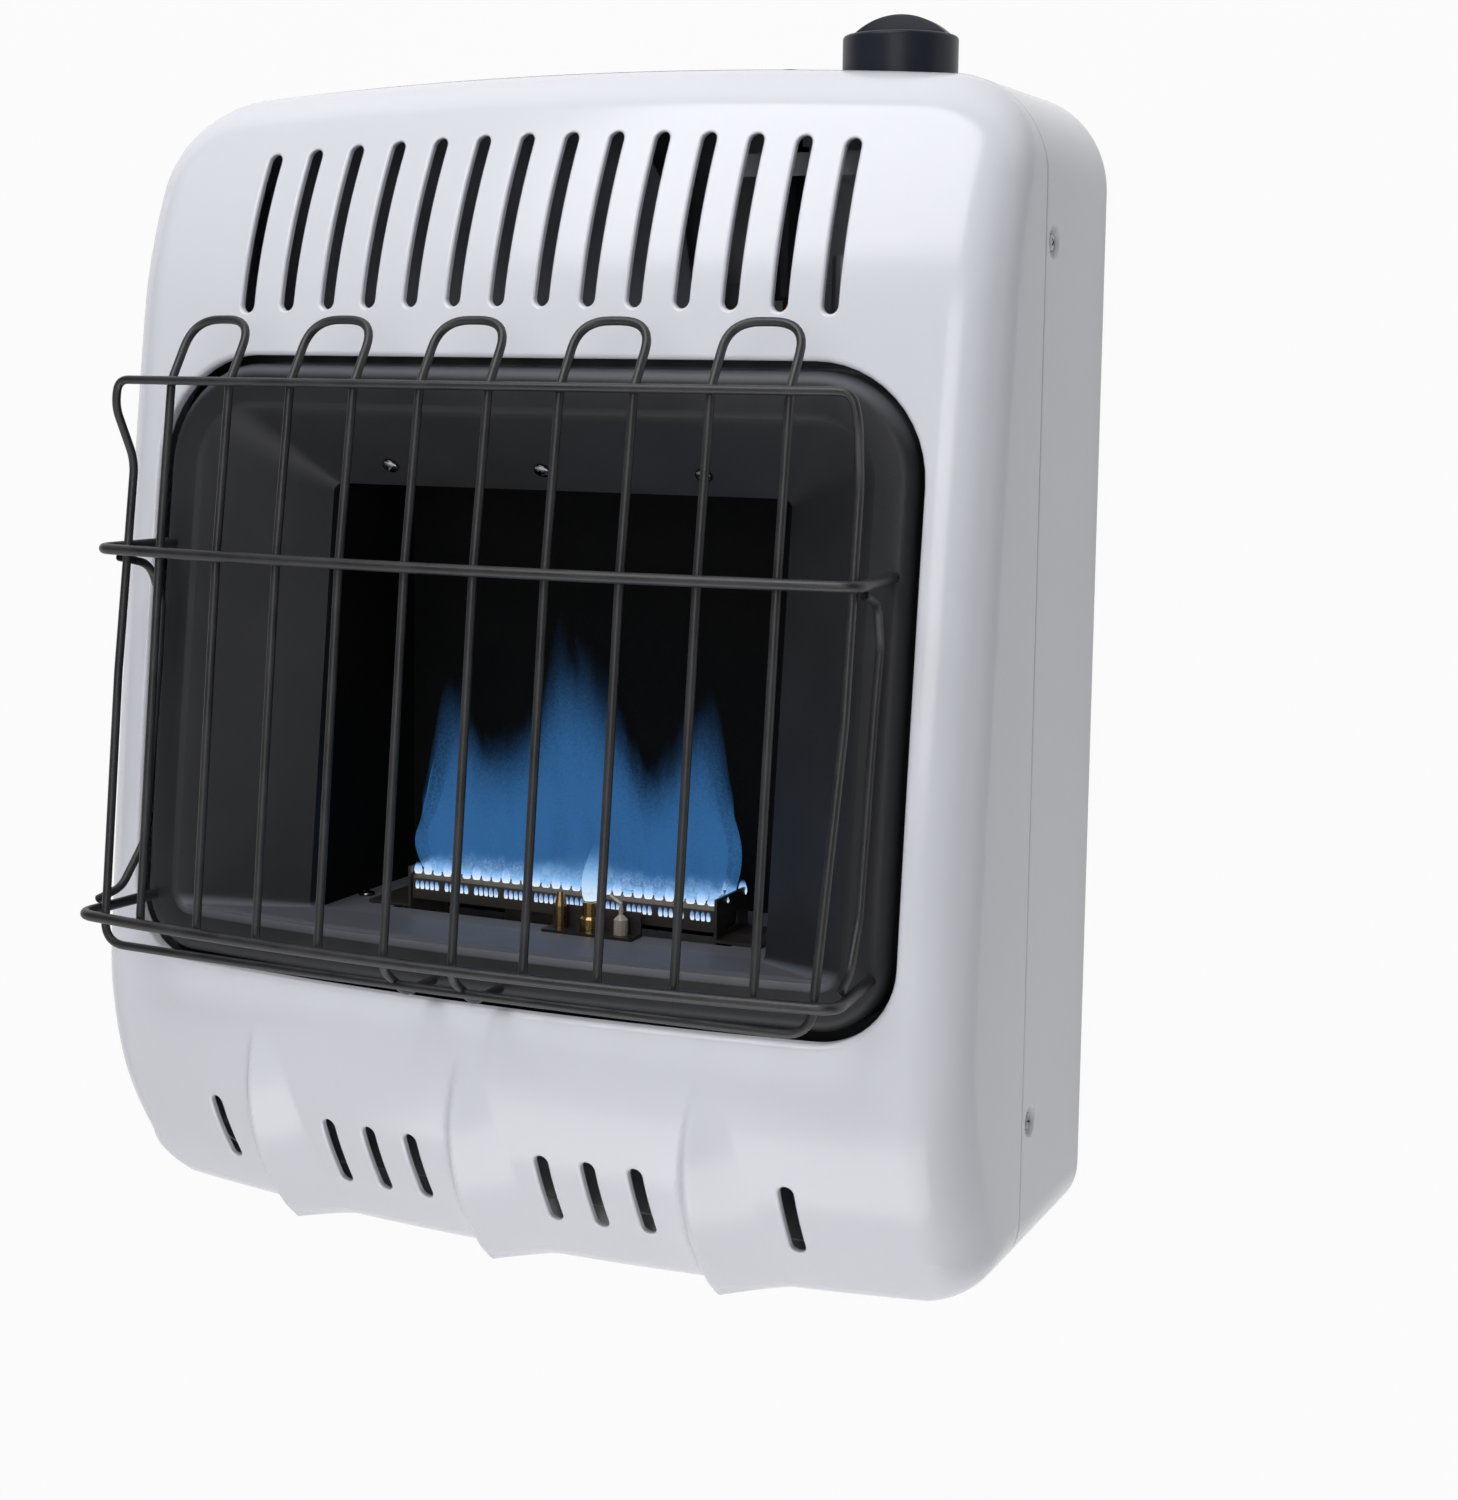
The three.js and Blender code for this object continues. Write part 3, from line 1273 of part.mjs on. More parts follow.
function controlKnob() {
  const hollowTop = knobBase + 13;
  const skin = turned([
    [0, knobBase], [knobRadius - 0.6, knobBase], [knobRadius, knobBase + 1],
    [knobRadius - 0.3, knobRim - 3.9], [knobRadius - knobChamfer, knobRim], [0, knobRim],
  ], 28);
  const gripHalf = knobGripWidth / 2;
  const gripRadius = (gripHalf ** 2 + knobGripRise ** 2) / (2 * knobGripRise);
  const gripAngle = Math.asin(gripHalf / gripRadius);
  const upright = Math.PI / 2;
  const gripShape = new THREE.Shape();
  gripShape.moveTo(-gripHalf, knobRim - 1);
  gripShape.lineTo(gripHalf, knobRim - 1);
  gripShape.absarc(0, overallHeight - gripRadius, gripRadius, upright - gripAngle, upright + gripAngle, false);
  const grip = extrudeForward(gripShape, knobGripThickness / 2, knobGripThickness);
  const hollow = turned([
    [7.4, knobBase - 1], [knobRadius - 2.4, knobBase - 1], [knobRadius - 2.6, hollowTop],
    [7.4, hollowTop], [7.4, knobBase - 1],
  ], 20);
  const springRoom = cylinder(6.2, knobBase - 1, knobBase + 6, 12);
  const stemHole = extrudeUp(stemShape(clearance), knobBase - 2, stemHigh + clearance - knobBase + 2);
  return cut(joined(skin, grip), hollow, springRoom, stemHole).translate([knobX, -knobDepth, 0]);
}

function valveStem() {
  return extrudeUp(stemShape(0), stemLow, stemHigh - stemLow).translate([knobX, -knobDepth, 0]);
}

function stemCollar() {
  const body = turned([
    [0, collarLow], [collarRadius, collarLow], [collarRadius, collarHigh - 1],
    [collarRadius - 1, collarHigh], [0, collarHigh],
  ], 16);
  const hole = extrudeUp(stemShape(clearance), collarLow - 1, collarHeight + 2);
  return cut(body, hole).translate([knobX, -knobDepth, 0]);
}

// an open coil between two heights, its ends squared off by flattening the pitch
function coilSpring(coilRadius, springWire, low, high, turns, place) {
  const steps = turns * 6;
  const path = [];
  for (let step = 0; step <= steps; step += 1) {
    const angle = (step / 6) * 2 * Math.PI;
    const height = THREE.MathUtils.lerp(low + springWire, high - springWire, step / steps);
    path.push(at(place.x + coilRadius * Math.cos(angle), place.y + coilRadius * Math.sin(angle), height));
  }
  return wire(path, springWire, 4);
}

addPiece('stem_collar', toGeometry(stemCollar()), brass);
addPiece('valve_stem', toGeometry(valveStem()), stainless);
const springTop = knobBase + 6 - clearance;
const knobSpring = coilSpring(4.8, 0.5, collarHigh + clearance, springTop, 5, knobSeat);
addPiece('knob_spring', toGeometry(knobSpring), stainless);
addPiece('control_knob', toGeometry(controlKnob()), blackPlastic);

// ---------------------------------------------------------------- spark igniter
const igniterTop = shelfHeight - clearance;
const neckTop = shelfHeight + igniterNeckLength;
const plungerRadius = 2.6;
const igniterSeat = at(igniterX, -knobDepth, 0);
const plungerLow = neckTop - 12;

function igniterBody() {
  const body = turned([
    [0, igniterTop - igniterBodyLength], [igniterBodyRadius - 1, igniterTop - igniterBodyLength],
    [igniterBodyRadius, igniterTop - igniterBodyLength + 1], [igniterBodyRadius, igniterTop],
    [igniterNeckRadius, igniterTop], [igniterNeckRadius, neckTop], [0, neckTop],
  ], 16);
  const bore = cylinder(4, neckTop - 20, neckTop + 1, 16);
  return cut(body, bore).translate([igniterX, -knobDepth, 0]);
}

function igniterButton() {
  const cap = turned([
    [0, plungerLow], [plungerRadius, plungerLow], [plungerRadius, neckTop + buttonLift],
    [buttonRadius, neckTop + buttonLift], [buttonRadius, buttonTop - 1.2],
    [buttonRadius - 1.2, buttonTop], [0, buttonTop],
  ], 18);
  return cap.translate([igniterX, -knobDepth, 0]);
}

addPiece('igniter_body', toGeometry(igniterBody()), blackPlastic);
const igniterNut = hexNut(15, igniterNeckRadius + clearance, nutSeat, 3.5);
addPiece('igniter_nut', toGeometry(igniterNut.translate([igniterX, -knobDepth, 0])), screwPlate);
addPiece('igniter_button', toGeometry(igniterButton()), blackPlastic);

const buttonSpringTop = neckTop + buttonLift - clearance;
const buttonSpring = coilSpring(3.6, 0.4, neckTop + clearance, buttonSpringTop, 2, igniterSeat);
addPiece('igniter_spring', toGeometry(buttonSpring), stainless);

function ignitionLead() {
  return wire(bent([
    at(electrodeX, -pilotDepth, pilotBottom + 4 - clearance),
    at(electrodeX, -pilotDepth, pilotBottom - 8),
    at(sparkLeadX, -pilotDepth, pilotBottom - 8),
    at(sparkLeadX, risePlane, pilotBottom + 6),
    at(sparkLeadX, risePlane, boxTop + 14),
    at(igniterX, -knobDepth, boxTop + 34),
    at(igniterX, -knobDepth, igniterTop - igniterBodyLength - clearance),
  ], 10, 2), 1.8, 5);
}

addPiece('ignition_lead', toGeometry(ignitionLead()), leadInsulation);

// ---------------------------------------------------------------- wire guard
function bowed(reach, x) {
  return -(reach - rodBow * (x / rodCornerX) ** 2);
}

// a rod that leaves one bezel hole, crosses in front in a shallow bow and enters the other
function guardRod(height, reach) {
  const half = [];
  [30, 60, 90, 120, 145].forEach((x) => half.push(at(x, bowed(reach, x), height)));
  const corner = at(rodCornerX, bowed(reach, rodCornerX), height);
  const hole = at(rodHoleX, bezelFront(rodHoleX, height) + 9, height);
  const right = [at(0, -reach, height), ...half, corner, hole];
  const left = right.slice(1).reverse().map((point) => at(-point.x, point.y, point.z));
  return wire(bent([...left, ...right], 9, 3), rodRadius, 7);
}

function rimTopY(x) {
  return -(rimTopReach - 8 * (x / 150) ** 2);
}

// the wire loop round the guard, butt-welded at the middle of its lower run
function guardRim() {
  const gap = 0.2;
  const lower = (x) => at(x, -(rimBottomReach - 4 * (x / 150) ** 2), rimBottomHeight);
  const right = [
    lower(gap), lower(40), lower(80), lower(120),
    at(156, -(rimBottomReach - 4.5), rimBottomHeight),
    at(156.6, -(rimBottomReach - 8), rimBottomHeight + 22),
    at(160, -(rimTopReach - 5.7), middleRodHeight - 50.6),
    at(159.6, -(rimTopReach - 17.7), rimTopHeight - 33.3),
    at(162, -(rimTopReach - 9), rimTopHeight - 11.3),
    at(160, -(rimTopReach - 8), rimTopHeight),
    ...[120, 80, 40, 0].map((x) => at(x, rimTopY(x), rimTopHeight)),
  ];
  const left = right.slice(0, -1).reverse().map((point) => at(-point.x, point.y, point.z));
  return wire(bent([...right, ...left], 22, 3), wireRadius, 6);
}

const leftHook = (hairpinCount - 1) / 2;

// one hairpin: two legs behind the rods and a loop that leans back above the rim
function guardHairpin(index) {
  const centre = (index - (hairpinCount - 1) / 2) * hairpinPitch;
  const behindRod = rodRadius + wireRadius + clearance;
  const behindRim = 2 * wireRadius + clearance;
  const leg = (x) => {
    const lowY = bowed(lowerRodReach, x) + behindRod;
    const rimY = rimTopY(x) + behindRim;
    const foot = index === leftHook
      ? [at(x, bezelFront(x, hookHeight) - wireRadius - clearance, hookHeight), at(x, lowY, hookHeight)]
      : [at(x, lowY + 2.5, lowerRodHeight - 7)];
    return [
      ...foot,
      at(x, lowY, lowerRodHeight),
      at(x, bowed(middleRodReach, x) + behindRod, middleRodHeight),
      at(x, rimY, rimTopHeight),
      at(x, rimY + hairpinLean, hairpinTop),
    ];
  };
  const left = leg(centre - hairpinSpan / 2);
  const right = leg(centre + hairpinSpan / 2);
  return wire(bent([...left, ...right.reverse()], 13, 2), wireRadius, 6);
}

function guardSideWire(side) {
  const under = middleRodHeight - rodRadius - wireRadius - clearance;
  const above = lowerRodHeight + rodRadius + wireRadius + clearance;
  const path = bent([
    at(side * 164.5, -(middleRodReach - 24.8), under),
    at(side * 162.5, -168, under - 4),
    at(side * 161.5, -161.5, under - 20.35),
    at(side * 160.9, -165, under - 46.35),
    at(side * 160.8, -176.4, above + 20.25),
    at(side * 162.5, -190, above + 3),
    at(side * 164.5, -(lowerRodReach - 23.4), above),
  ], 12, 2);
  return wire(path, wireRadius, 6);
}

addPiece('guard_rim', toGeometry(guardRim()), blackWire);
addPiece('guard_middle_rod', toGeometry(guardRod(middleRodHeight, middleRodReach)), blackWire);
addPiece('guard_lower_rod', toGeometry(guardRod(lowerRodHeight, lowerRodReach)), blackWire);
for (let index = 0; index < hairpinCount; index += 1) {
  addPiece(`guard_hairpin_${index + 1}`, toGeometry(guardHairpin(index)), blackWire);
}
addPiece('guard_side_wire_left', toGeometry(guardSideWire(-1)), blackWire);
addPiece('guard_side_wire_right', toGeometry(guardSideWire(1)), blackWire);

// ---------------------------------------------------------------- casing and tray screws
sideScrewHeights.forEach((height, index) => {
  [['left', -1], ['right', 1]].forEach(([name, side]) => {
    const seat = at(side * (halfWidth - dimpleDepth), sideScrewY, height);
    addPiece(`side_screw_${name}_${index + 1}`, screwAt(seat, at(side, 0, 0), 7), screwPlate);
  });
});
[['left', -1], ['right', 1]].forEach(([name, side]) => {
  const seat = at(side * trayScrewX, -trayScrewDepth, trayTop);
  addPiece(`tray_screw_${name}`, screwAt(seat, at(0, 0, 1), 5), screwPlate);
});

export default heater;
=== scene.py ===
# Wall mounted gas heater with an open firebox behind a wire guard, hung on a plain white wall.
# Sizes are written in millimetres, with heights above the lowest edge of the cover, and
# spot() turns them into the metres of the shared frame, whose origin is on the wall.
import bpy
import bmesh
import numpy as np
from math import acos, asin, cos, hypot, pi, radians, sin, sqrt, tan
from mathutils import Matrix, Vector
from mathutils.geometry import delaunay_2d_cdt


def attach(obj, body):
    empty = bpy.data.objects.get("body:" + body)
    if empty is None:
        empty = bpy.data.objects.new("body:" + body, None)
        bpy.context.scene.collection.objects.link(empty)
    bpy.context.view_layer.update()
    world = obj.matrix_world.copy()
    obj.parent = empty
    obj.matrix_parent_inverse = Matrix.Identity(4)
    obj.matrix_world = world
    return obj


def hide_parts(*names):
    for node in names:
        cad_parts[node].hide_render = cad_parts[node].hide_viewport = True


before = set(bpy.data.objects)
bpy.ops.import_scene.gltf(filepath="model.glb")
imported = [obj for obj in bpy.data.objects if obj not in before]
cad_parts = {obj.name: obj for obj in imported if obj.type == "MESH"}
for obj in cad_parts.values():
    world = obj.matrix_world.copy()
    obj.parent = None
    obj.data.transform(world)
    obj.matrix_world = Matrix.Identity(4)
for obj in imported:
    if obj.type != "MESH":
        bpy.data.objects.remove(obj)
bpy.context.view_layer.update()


# ---------------- camera
# The heater is seen from its right, a little above the middle, from about a metre away.
# The direction, distance and lens come from where its known corners lie in the picture.
ORIGIN_HEIGHT = 250


def spot(x, y, z):
    return Vector((x, y, z - ORIGIN_HEIGHT)) / 1000


def add_to_scene(name, data):
    piece = bpy.data.objects.new(name, data)
    bpy.context.scene.collection.objects.link(piece)
    return piece


CAMERA_YAW, CAMERA_PITCH, CAMERA_ROLL = 0.43368, -0.112535, 0.01162
quarter = pi / 2

camera = add_to_scene("camera", bpy.data.cameras.new("camera"))
camera.matrix_world = (
    Matrix.Translation(spot(476.608, -1014.27, 368.725)) @ Matrix.Rotation(CAMERA_YAW, 4, "Z")
    @ Matrix.Rotation(quarter + CAMERA_PITCH, 4, "X") @ Matrix.Rotation(CAMERA_ROLL, 4, "Z")
)
camera.data.sensor_width = 36
camera.data.lens = 59.491
camera.data.shift_x = 0.03
camera.data.shift_y = -0.07138
bpy.context.scene.camera = camera


# ---------------- room and studio light
# A plain white wall that the heater hangs on, a pale floor below it, and four soft lamps:
# broad ones from above and from the right, and weaker ones from the front and from below.
ROOM_LEFT, ROOM_RIGHT, ROOM_FRONT, WALL, FLOOR, CEILING = -6, 6, -8, 0.001, -0.9, 4
WALL_GLOW, FLOOR_GLOW = 0.95, 0.93
bpy.context.scene.view_settings.view_transform = "Standard"


def softbox(name, place, target, size, power):
    lamp = bpy.data.lights.new(name, "AREA")
    lamp.shape = "RECTANGLE"
    lamp.size, lamp.size_y = size
    lamp.energy = power
    holder = add_to_scene(name, lamp)
    holder.location = place
    holder.rotation_euler = (Vector(target) - Vector(place)).to_track_quat("-Z", "Y").to_euler()


softbox("lamp_above", (-0.15, -0.95, 1.4), (0, -0.1, 0.15), (1.2, 1.3), 20)
softbox("lamp_right", (0.55, -2.3, 0.5), (0, -0.1, 0.1), (1.1, 0.9), 10.5)
softbox("lamp_front", (0.3, -2.6, -0.3), (0, -0.1, 0), (1.4, 1.0), 1.5)
softbox("lamp_low", (0.1, -0.5, -0.86), (0, -0.12, -0.2), (1.4, 0.8), 6.5)

world = bpy.data.worlds.new("room")
bpy.context.scene.world = world
world.use_nodes = True
world.node_tree.nodes["Background"].inputs["Color"].default_value = (0.095, 0.1, 0.114, 1)


def feed(tree, shader, inputs):
    """Gives each input its value, or links it where the value is another node's output."""
    for socket, value in inputs.items():
        if isinstance(value, bpy.types.NodeSocket):
            tree.links.new(value, shader.inputs[socket])
        else:
            shader.inputs[socket].default_value = value


def add_node(tree, kind, inputs, **settings):
    made = tree.nodes.new("ShaderNode" + kind)
    for name, value in settings.items():
        setattr(made, name, value)
    feed(tree, made, inputs)
    return made.outputs


def maths(tree, operation, *values, **settings):
    return add_node(tree, "Math", dict(enumerate(values)), operation=operation, **settings)[0]


def new_material(name):
    material = bpy.data.materials.new(name)
    material.use_nodes = True
    return material, material.node_tree, material.node_tree.nodes["Principled BSDF"]


def backdrop(name, corners, glow):
    """A pale sheet that keeps soft shadows and is see-through from behind."""
    mesh = bpy.data.meshes.new(name)
    mesh.from_pydata(corners, [], [(0, 1, 2, 3)])
    sheet = add_to_scene(name, mesh)
    paint, tree, matt = new_material(name)
    feed(tree, matt, {"Base Color": (0.4, 0.4, 0.4, 1), "Roughness": 0.9})
    path = add_node(tree, "LightPath", {})
    seen = maths(tree, "MAXIMUM", path["Is Camera Ray"], path["Is Glossy Ray"])
    seen_through = maths(tree, "MAXIMUM", seen, path["Is Transmission Ray"])
    lit = add_node(tree, "Emission", {"Color": (1, 1, 1, 1), "Strength": 1})
    share = maths(tree, "MULTIPLY", seen_through, glow)
    blend = add_node(tree, "MixShader", {0: share, 1: matt.outputs[0], 2: lit[0]})
    behind = add_node(tree, "NewGeometry", {})["Backfacing"]
    clear = add_node(tree, "BsdfTransparent", {})
    one_sided = add_node(tree, "MixShader", {0: behind, 1: blend[0], 2: clear[0]})
    feed(tree, tree.nodes["Material Output"], {"Surface": one_sided[0]})
    mesh.materials.append(paint)


backdrop("wall", [(ROOM_LEFT, WALL, FLOOR), (ROOM_RIGHT, WALL, FLOOR),
                  (ROOM_RIGHT, WALL, CEILING), (ROOM_LEFT, WALL, CEILING)], WALL_GLOW)
backdrop("floor", [(ROOM_LEFT, ROOM_FRONT, FLOOR), (ROOM_RIGHT, ROOM_FRONT, FLOOR),
                   (ROOM_RIGHT, WALL, FLOOR), (ROOM_LEFT, WALL, FLOOR)], FLOOR_GLOW)


# ---------------- front cover
# The cover is pressed from 1.2 mm steel and finished in glossy white enamel. Its face swells
# out over the firebox, and three ribs run down its apron to small feet at the lower edge.
# The slots above and below and the window are pierced and their edges turned in.
HALF_WIDTH, BASE_HEIGHT, CROWN_HEIGHT, CROWN_RISE = 196.85, 3.8, 487, 8.8
CROWN_RADIUS = HALF_WIDTH ** 2 / (2 * CROWN_RISE)
UPPER_CORNER, LOWER_CORNER = 41, 24
CASING_DEPTH, SHEET = 83.7, 1.2
SIDE_ROLL, CROWN_ROLL, BASE_ROLL = 21, 18, 8
FACE_SWELL_FOOT, FACE_SWELL_TOP = 10.5, 2      # how far the face falls back 130 mm off its middle
FACE_STATIONS = (        # height, and depth of the face on its middle line
    (3.8, 146), (27.6, 164.6), (58.3, 180.4), (90, 186.5), (116.2, 185.6),
    (250, 168), (390.2, 145.5), (424.6, 135.4), (459.9, 118.4), (487, 100),
)
RIB_PLACES = (-100, 0, 100)
RIB_APEX, RIB_RUN, RIB_HALF_WIDTH, RIB_RISE = 96, 72, 17.6, 9
RIDGE_SHIFT = 0.4        # how far a rib's ridge lies left of its middle, as a share of its reach

upper_corner_x = HALF_WIDTH - UPPER_CORNER
upper_corner_z = CROWN_HEIGHT - CROWN_RADIUS + sqrt(
    (CROWN_RADIUS - UPPER_CORNER) ** 2 - upper_corner_x ** 2)
lower_corner_x = HALF_WIDTH - LOWER_CORNER
lower_corner_z = BASE_HEIGHT + LOWER_CORNER
crown_angle = asin(upper_corner_x / (CROWN_RADIUS - UPPER_CORNER))


def mix(a, b, share):
    return a + (b - a) * share


def clamp(value, low=0.0, high=1.0):
    return min(max(value, low), high)


def smooth(share):
    share = clamp(share)
    return share * share * (3 - 2 * share)


heights, depths = zip(*FACE_STATIONS)
neighbours = [(max(i - 1, 0), min(i + 1, len(heights) - 1)) for i in range(len(heights))]
slopes = [(depths[b] - depths[a]) / (heights[b] - heights[a]) for a, b in neighbours]


def depth_on_centre(z):
    """A smooth curve through the stations."""
    height = clamp(z, heights[0], heights[-1])
    i = sum(height > station for station in heights[1:-1])
    span = heights[i + 1] - heights[i]
    t = (height - heights[i]) / span
    return (depths[i] * (1 + 2 * t) * (1 - t) ** 2 + slopes[i] * span * t * (1 - t) ** 2
            + depths[i + 1] * t * t * (3 - 2 * t) + slopes[i + 1] * span * t * t * (t - 1))


def face_depth(x, z):
    bow = mix(FACE_SWELL_FOOT, FACE_SWELL_TOP, (z - BASE_HEIGHT) / (CROWN_HEIGHT - BASE_HEIGHT))
    return depth_on_centre(z) - bow * (x / 130) ** 2


def rib_share(x, z):
    """0 beside the ribs, 1 on a rib's ridge at its foot: steep on the left, easy on the right."""
    grown = 1 - (1 - clamp((RIB_APEX - z) / RIB_RUN)) ** 1.6
    reach = RIB_HALF_WIDTH * (0.3 + 0.7 * grown)
    off = min((x - place for place in RIB_PLACES), key=abs)
    ridge = -RIDGE_SHIFT * reach
    if off < ridge:
        return grown * smooth((off + reach * 0.9) / (ridge + reach * 0.9))
    return grown * (1 - clamp((off - ridge) / (reach * 1.15 - ridge))) ** 1.25


def cover_y(x, z):
    return -(face_depth(x, z) + RIB_RISE * rib_share(x, z))


def cover_facing(x, z):
    step = 0.8
    slope_x = (cover_y(x + step, z) - cover_y(x - step, z)) / (2 * step)
    slope_z = (cover_y(x, z + step) - cover_y(x, z - step)) / (2 * step)
    return Vector((slope_x, -1, slope_z)).normalized()


def line_run(x0, z0, x1, z1, facing):
    length = hypot(x1 - x0, z1 - z0)
    return length, lambda t: (mix(x0, x1, t), mix(z0, z1, t), *facing)


def on_arc(x, z, radius, angle):
    """A point of an arc, x and z, and the way out from its middle."""
    return x + radius * cos(angle), z + radius * sin(angle), cos(angle), sin(angle)


def arc_run(x, z, radius, start, end):
    return radius * (end - start), lambda t: on_arc(x, z, radius, mix(start, end, t))


crown_centre_z = CROWN_HEIGHT - CROWN_RADIUS
# the body outline seen from the front, counter-clockwise from the lower left
BODY_RUNS = {
    "base": line_run(-lower_corner_x, BASE_HEIGHT, lower_corner_x, BASE_HEIGHT, (0, -1)),
    "lower_right": arc_run(lower_corner_x, lower_corner_z, LOWER_CORNER, -quarter, 0),
    "right": line_run(HALF_WIDTH, lower_corner_z, HALF_WIDTH, upper_corner_z, (1, 0)),
    "upper_right": arc_run(upper_corner_x, upper_corner_z, UPPER_CORNER, 0, quarter - crown_angle),
    "crown": arc_run(0, crown_centre_z, CROWN_RADIUS, quarter - crown_angle, quarter + crown_angle),
    "upper_left": arc_run(-upper_corner_x, upper_corner_z, UPPER_CORNER,
                          quarter + crown_angle, 2 * quarter),
    "left": line_run(-HALF_WIDTH, upper_corner_z, -HALF_WIDTH, lower_corner_z, (-1, 0)),
    "lower_left": arc_run(-lower_corner_x, lower_corner_z, LOWER_CORNER, 2 * quarter, 3 * quarter),
}


def side_sweep(z):
    return mix(SIDE_ROLL, 37, clamp((112 - z) / 88))


def edge_reach(run, t, z):
    """How far the cover's edge is rolled, inward and back, at a place of the outline."""
    if run == "base":
        return BASE_ROLL, BASE_ROLL
    if run == "crown":
        return CROWN_ROLL, CROWN_ROLL
    if run in ("left", "right"):
        return SIDE_ROLL, side_sweep(z)
    share = t if run in ("lower_right", "upper_left") else 1 - t
    end = BASE_ROLL if run.startswith("lower") else CROWN_ROLL
    return mix(end, SIDE_ROLL, share), mix(end, side_sweep(z), share)


def outline_stations(spacings):
    """Places along the body outline: run, share of the run, and x, z and facing there."""
    stations = []
    for run, (length, place) in BODY_RUNS.items():
        steps = max(round(length / spacings.get(run, 3)), 1)
        stations += [(run, step / steps, *place(step / steps)) for step in range(steps)]
    return stations


def cover_edge(station, angle):
    """A point of the rolled edge: angle 0 at the side, a quarter turn on the face."""
    run, t, x, z, out_x, out_z = station
    foot = BASE_HEIGHT * rib_share(x, BASE_HEIGHT) if run == "base" else 0
    roll, sweep = edge_reach(run, t, z)
    drawn_in = roll * (1 - cos(angle))
    x, z = x - out_x * drawn_in, z - out_z * drawn_in - foot
    return Vector((x, cover_y(x, z) + sweep * (1 - sin(angle)), z))


class SheetMetal:
    """Points in millimetres, the faces between them, and the way each point faces where it
    isn't left to the faces."""

    def __init__(self):
        self.points, self.facings, self.faces = [], [], []

    def ring(self, points, facings=None):
        start = len(self.points)
        self.points += points
        self.facings += facings or [Vector((0, 1, 0))] * len(points)
        return list(range(start, len(self.points)))

    def bridge(self, near, far):
        for side in range(len(near)):
            onward = (side + 1) % len(near)
            self.faces.append((near[side], near[onward], far[onward], far[side]))

    def chain(self, rings):
        for near, far in zip(rings, rings[1:]):
            self.bridge(near, far)

    def stack(self, levels):
        """A closed solid: rings given as (points, facings), and a face over both ends."""
        rings = [self.ring(*level) for level in levels]
        self.chain(rings)
        self.faces += [tuple(reversed(rings[0])), tuple(rings[-1])]

    def inside_of(self, ring, thickness):
        """The ring's copy on the sheet's other side."""
        points = [self.points[i] - self.facings[i] * thickness for i in ring]
        return self.ring(points, [-self.facings[i] for i in ring])

    def sheet(self, triangles, outer, inner):
        self.faces += [tuple(outer[i] for i in tri) for tri in triangles]
        self.faces += [tuple(inner[i] for i in reversed(tri)) for tri in triangles]

    def lip(self, first, edge, profile, place):
        """The rings of a hole's edge, from the ring that is there along the profile."""
        rings = [first]
        for step in profile:
            points, facings = zip(*(place(*at, *step) for at in edge))
            rings.append(self.ring(points, facings))
        return rings

    def piece(self, name, sharp_angle=None):
        shape = bmesh.new()
        corners = [shape.verts.new(spot(*point)) for point in self.points]
        for face in self.faces:
            shape.faces.new([corners[i] for i in face])
        bmesh.ops.recalc_face_normals(shape, faces=shape.faces)
        mesh = bpy.data.meshes.new(name)
        shape.to_mesh(mesh)
        shape.free()
        mesh.shade_smooth()
        if sharp_angle is None:
            mesh.normals_split_custom_set_from_vertices([tuple(f) for f in self.facings])
        else:
            mesh.set_sharp_from_angle(angle=radians(sharp_angle))
        return add_to_scene(name, mesh)


def inside_loop(points, loop):
    """Which of the points lie inside a closed loop."""
    x, y = points[:, 0][:, None], points[:, 1][:, None]
    x0, y0 = np.array(loop).T
    x1, y1 = np.roll(x0, -1), np.roll(y0, -1)
    spans = (y0 > y) != (y1 > y)
    with np.errstate(divide="ignore", invalid="ignore"):
        crossing = x < (x1 - x0) * (y - y0) / (y1 - y0) + x0
    return (spans & crossing).sum(axis=1) % 2 == 1


def fill_sheet(rim, holes, spots, gap):
    """Triangles inside the rim, with the holes left open: points, triangles, loop indices."""
    loops = [rim] + holes
    fixed = np.array([point for loop in loops for point in loop])
    spots = np.array(spots)
    away = np.full(len(spots), np.inf)
    for point in fixed:
        away = np.minimum(away, np.hypot(*(spots - point).T))
    edges, start = [], 0
    for loop in loops:
        count = len(loop)
        edges += [(start + i, start + (i + 1) % count) for i in range(count)]
        start += count
    given = [Vector(point) for point in (*fixed, *spots[away > gap])]
    made, _, triangles, origins, _, _ = delaunay_2d_cdt(given, edges, [], 0, 1e-6)
    place_of = {old: new for new, olds in enumerate(origins) for old in olds}
    middles = np.array([sum((made[i] for i in tri), Vector((0, 0))) / 3 for tri in triangles])
    kept = inside_loop(middles, rim)
    for hole in holes:
        kept &= ~inside_loop(middles, hole)
    triangles = [tri for tri, keep in zip(triangles, kept) if keep]
    places = iter(range(len(fixed)))
    return made, triangles, [[place_of[next(places)] for _ in loop] for loop in loops]


def closed_edge(corners, side_steps):
    """Round corners (x, z, radius, start, sweep, steps), each joined to the next by a side."""
    arcs = [[on_arc(x, z, radius, start + step / steps * sweep) for step in range(steps + 1)]
            for x, z, radius, start, sweep, steps in corners]
    edge = []
    for arc, following, steps in zip(arcs, arcs[1:] + arcs[:1], side_steps):
        (from_x, from_z, out_x, out_z), (to_x, to_z, _, _) = arc[-1], following[0]
        edge += arc + [(mix(from_x, to_x, step / steps), mix(from_z, to_z, step / steps),
                        out_x, out_z) for step in range(1, steps)]
    return edge


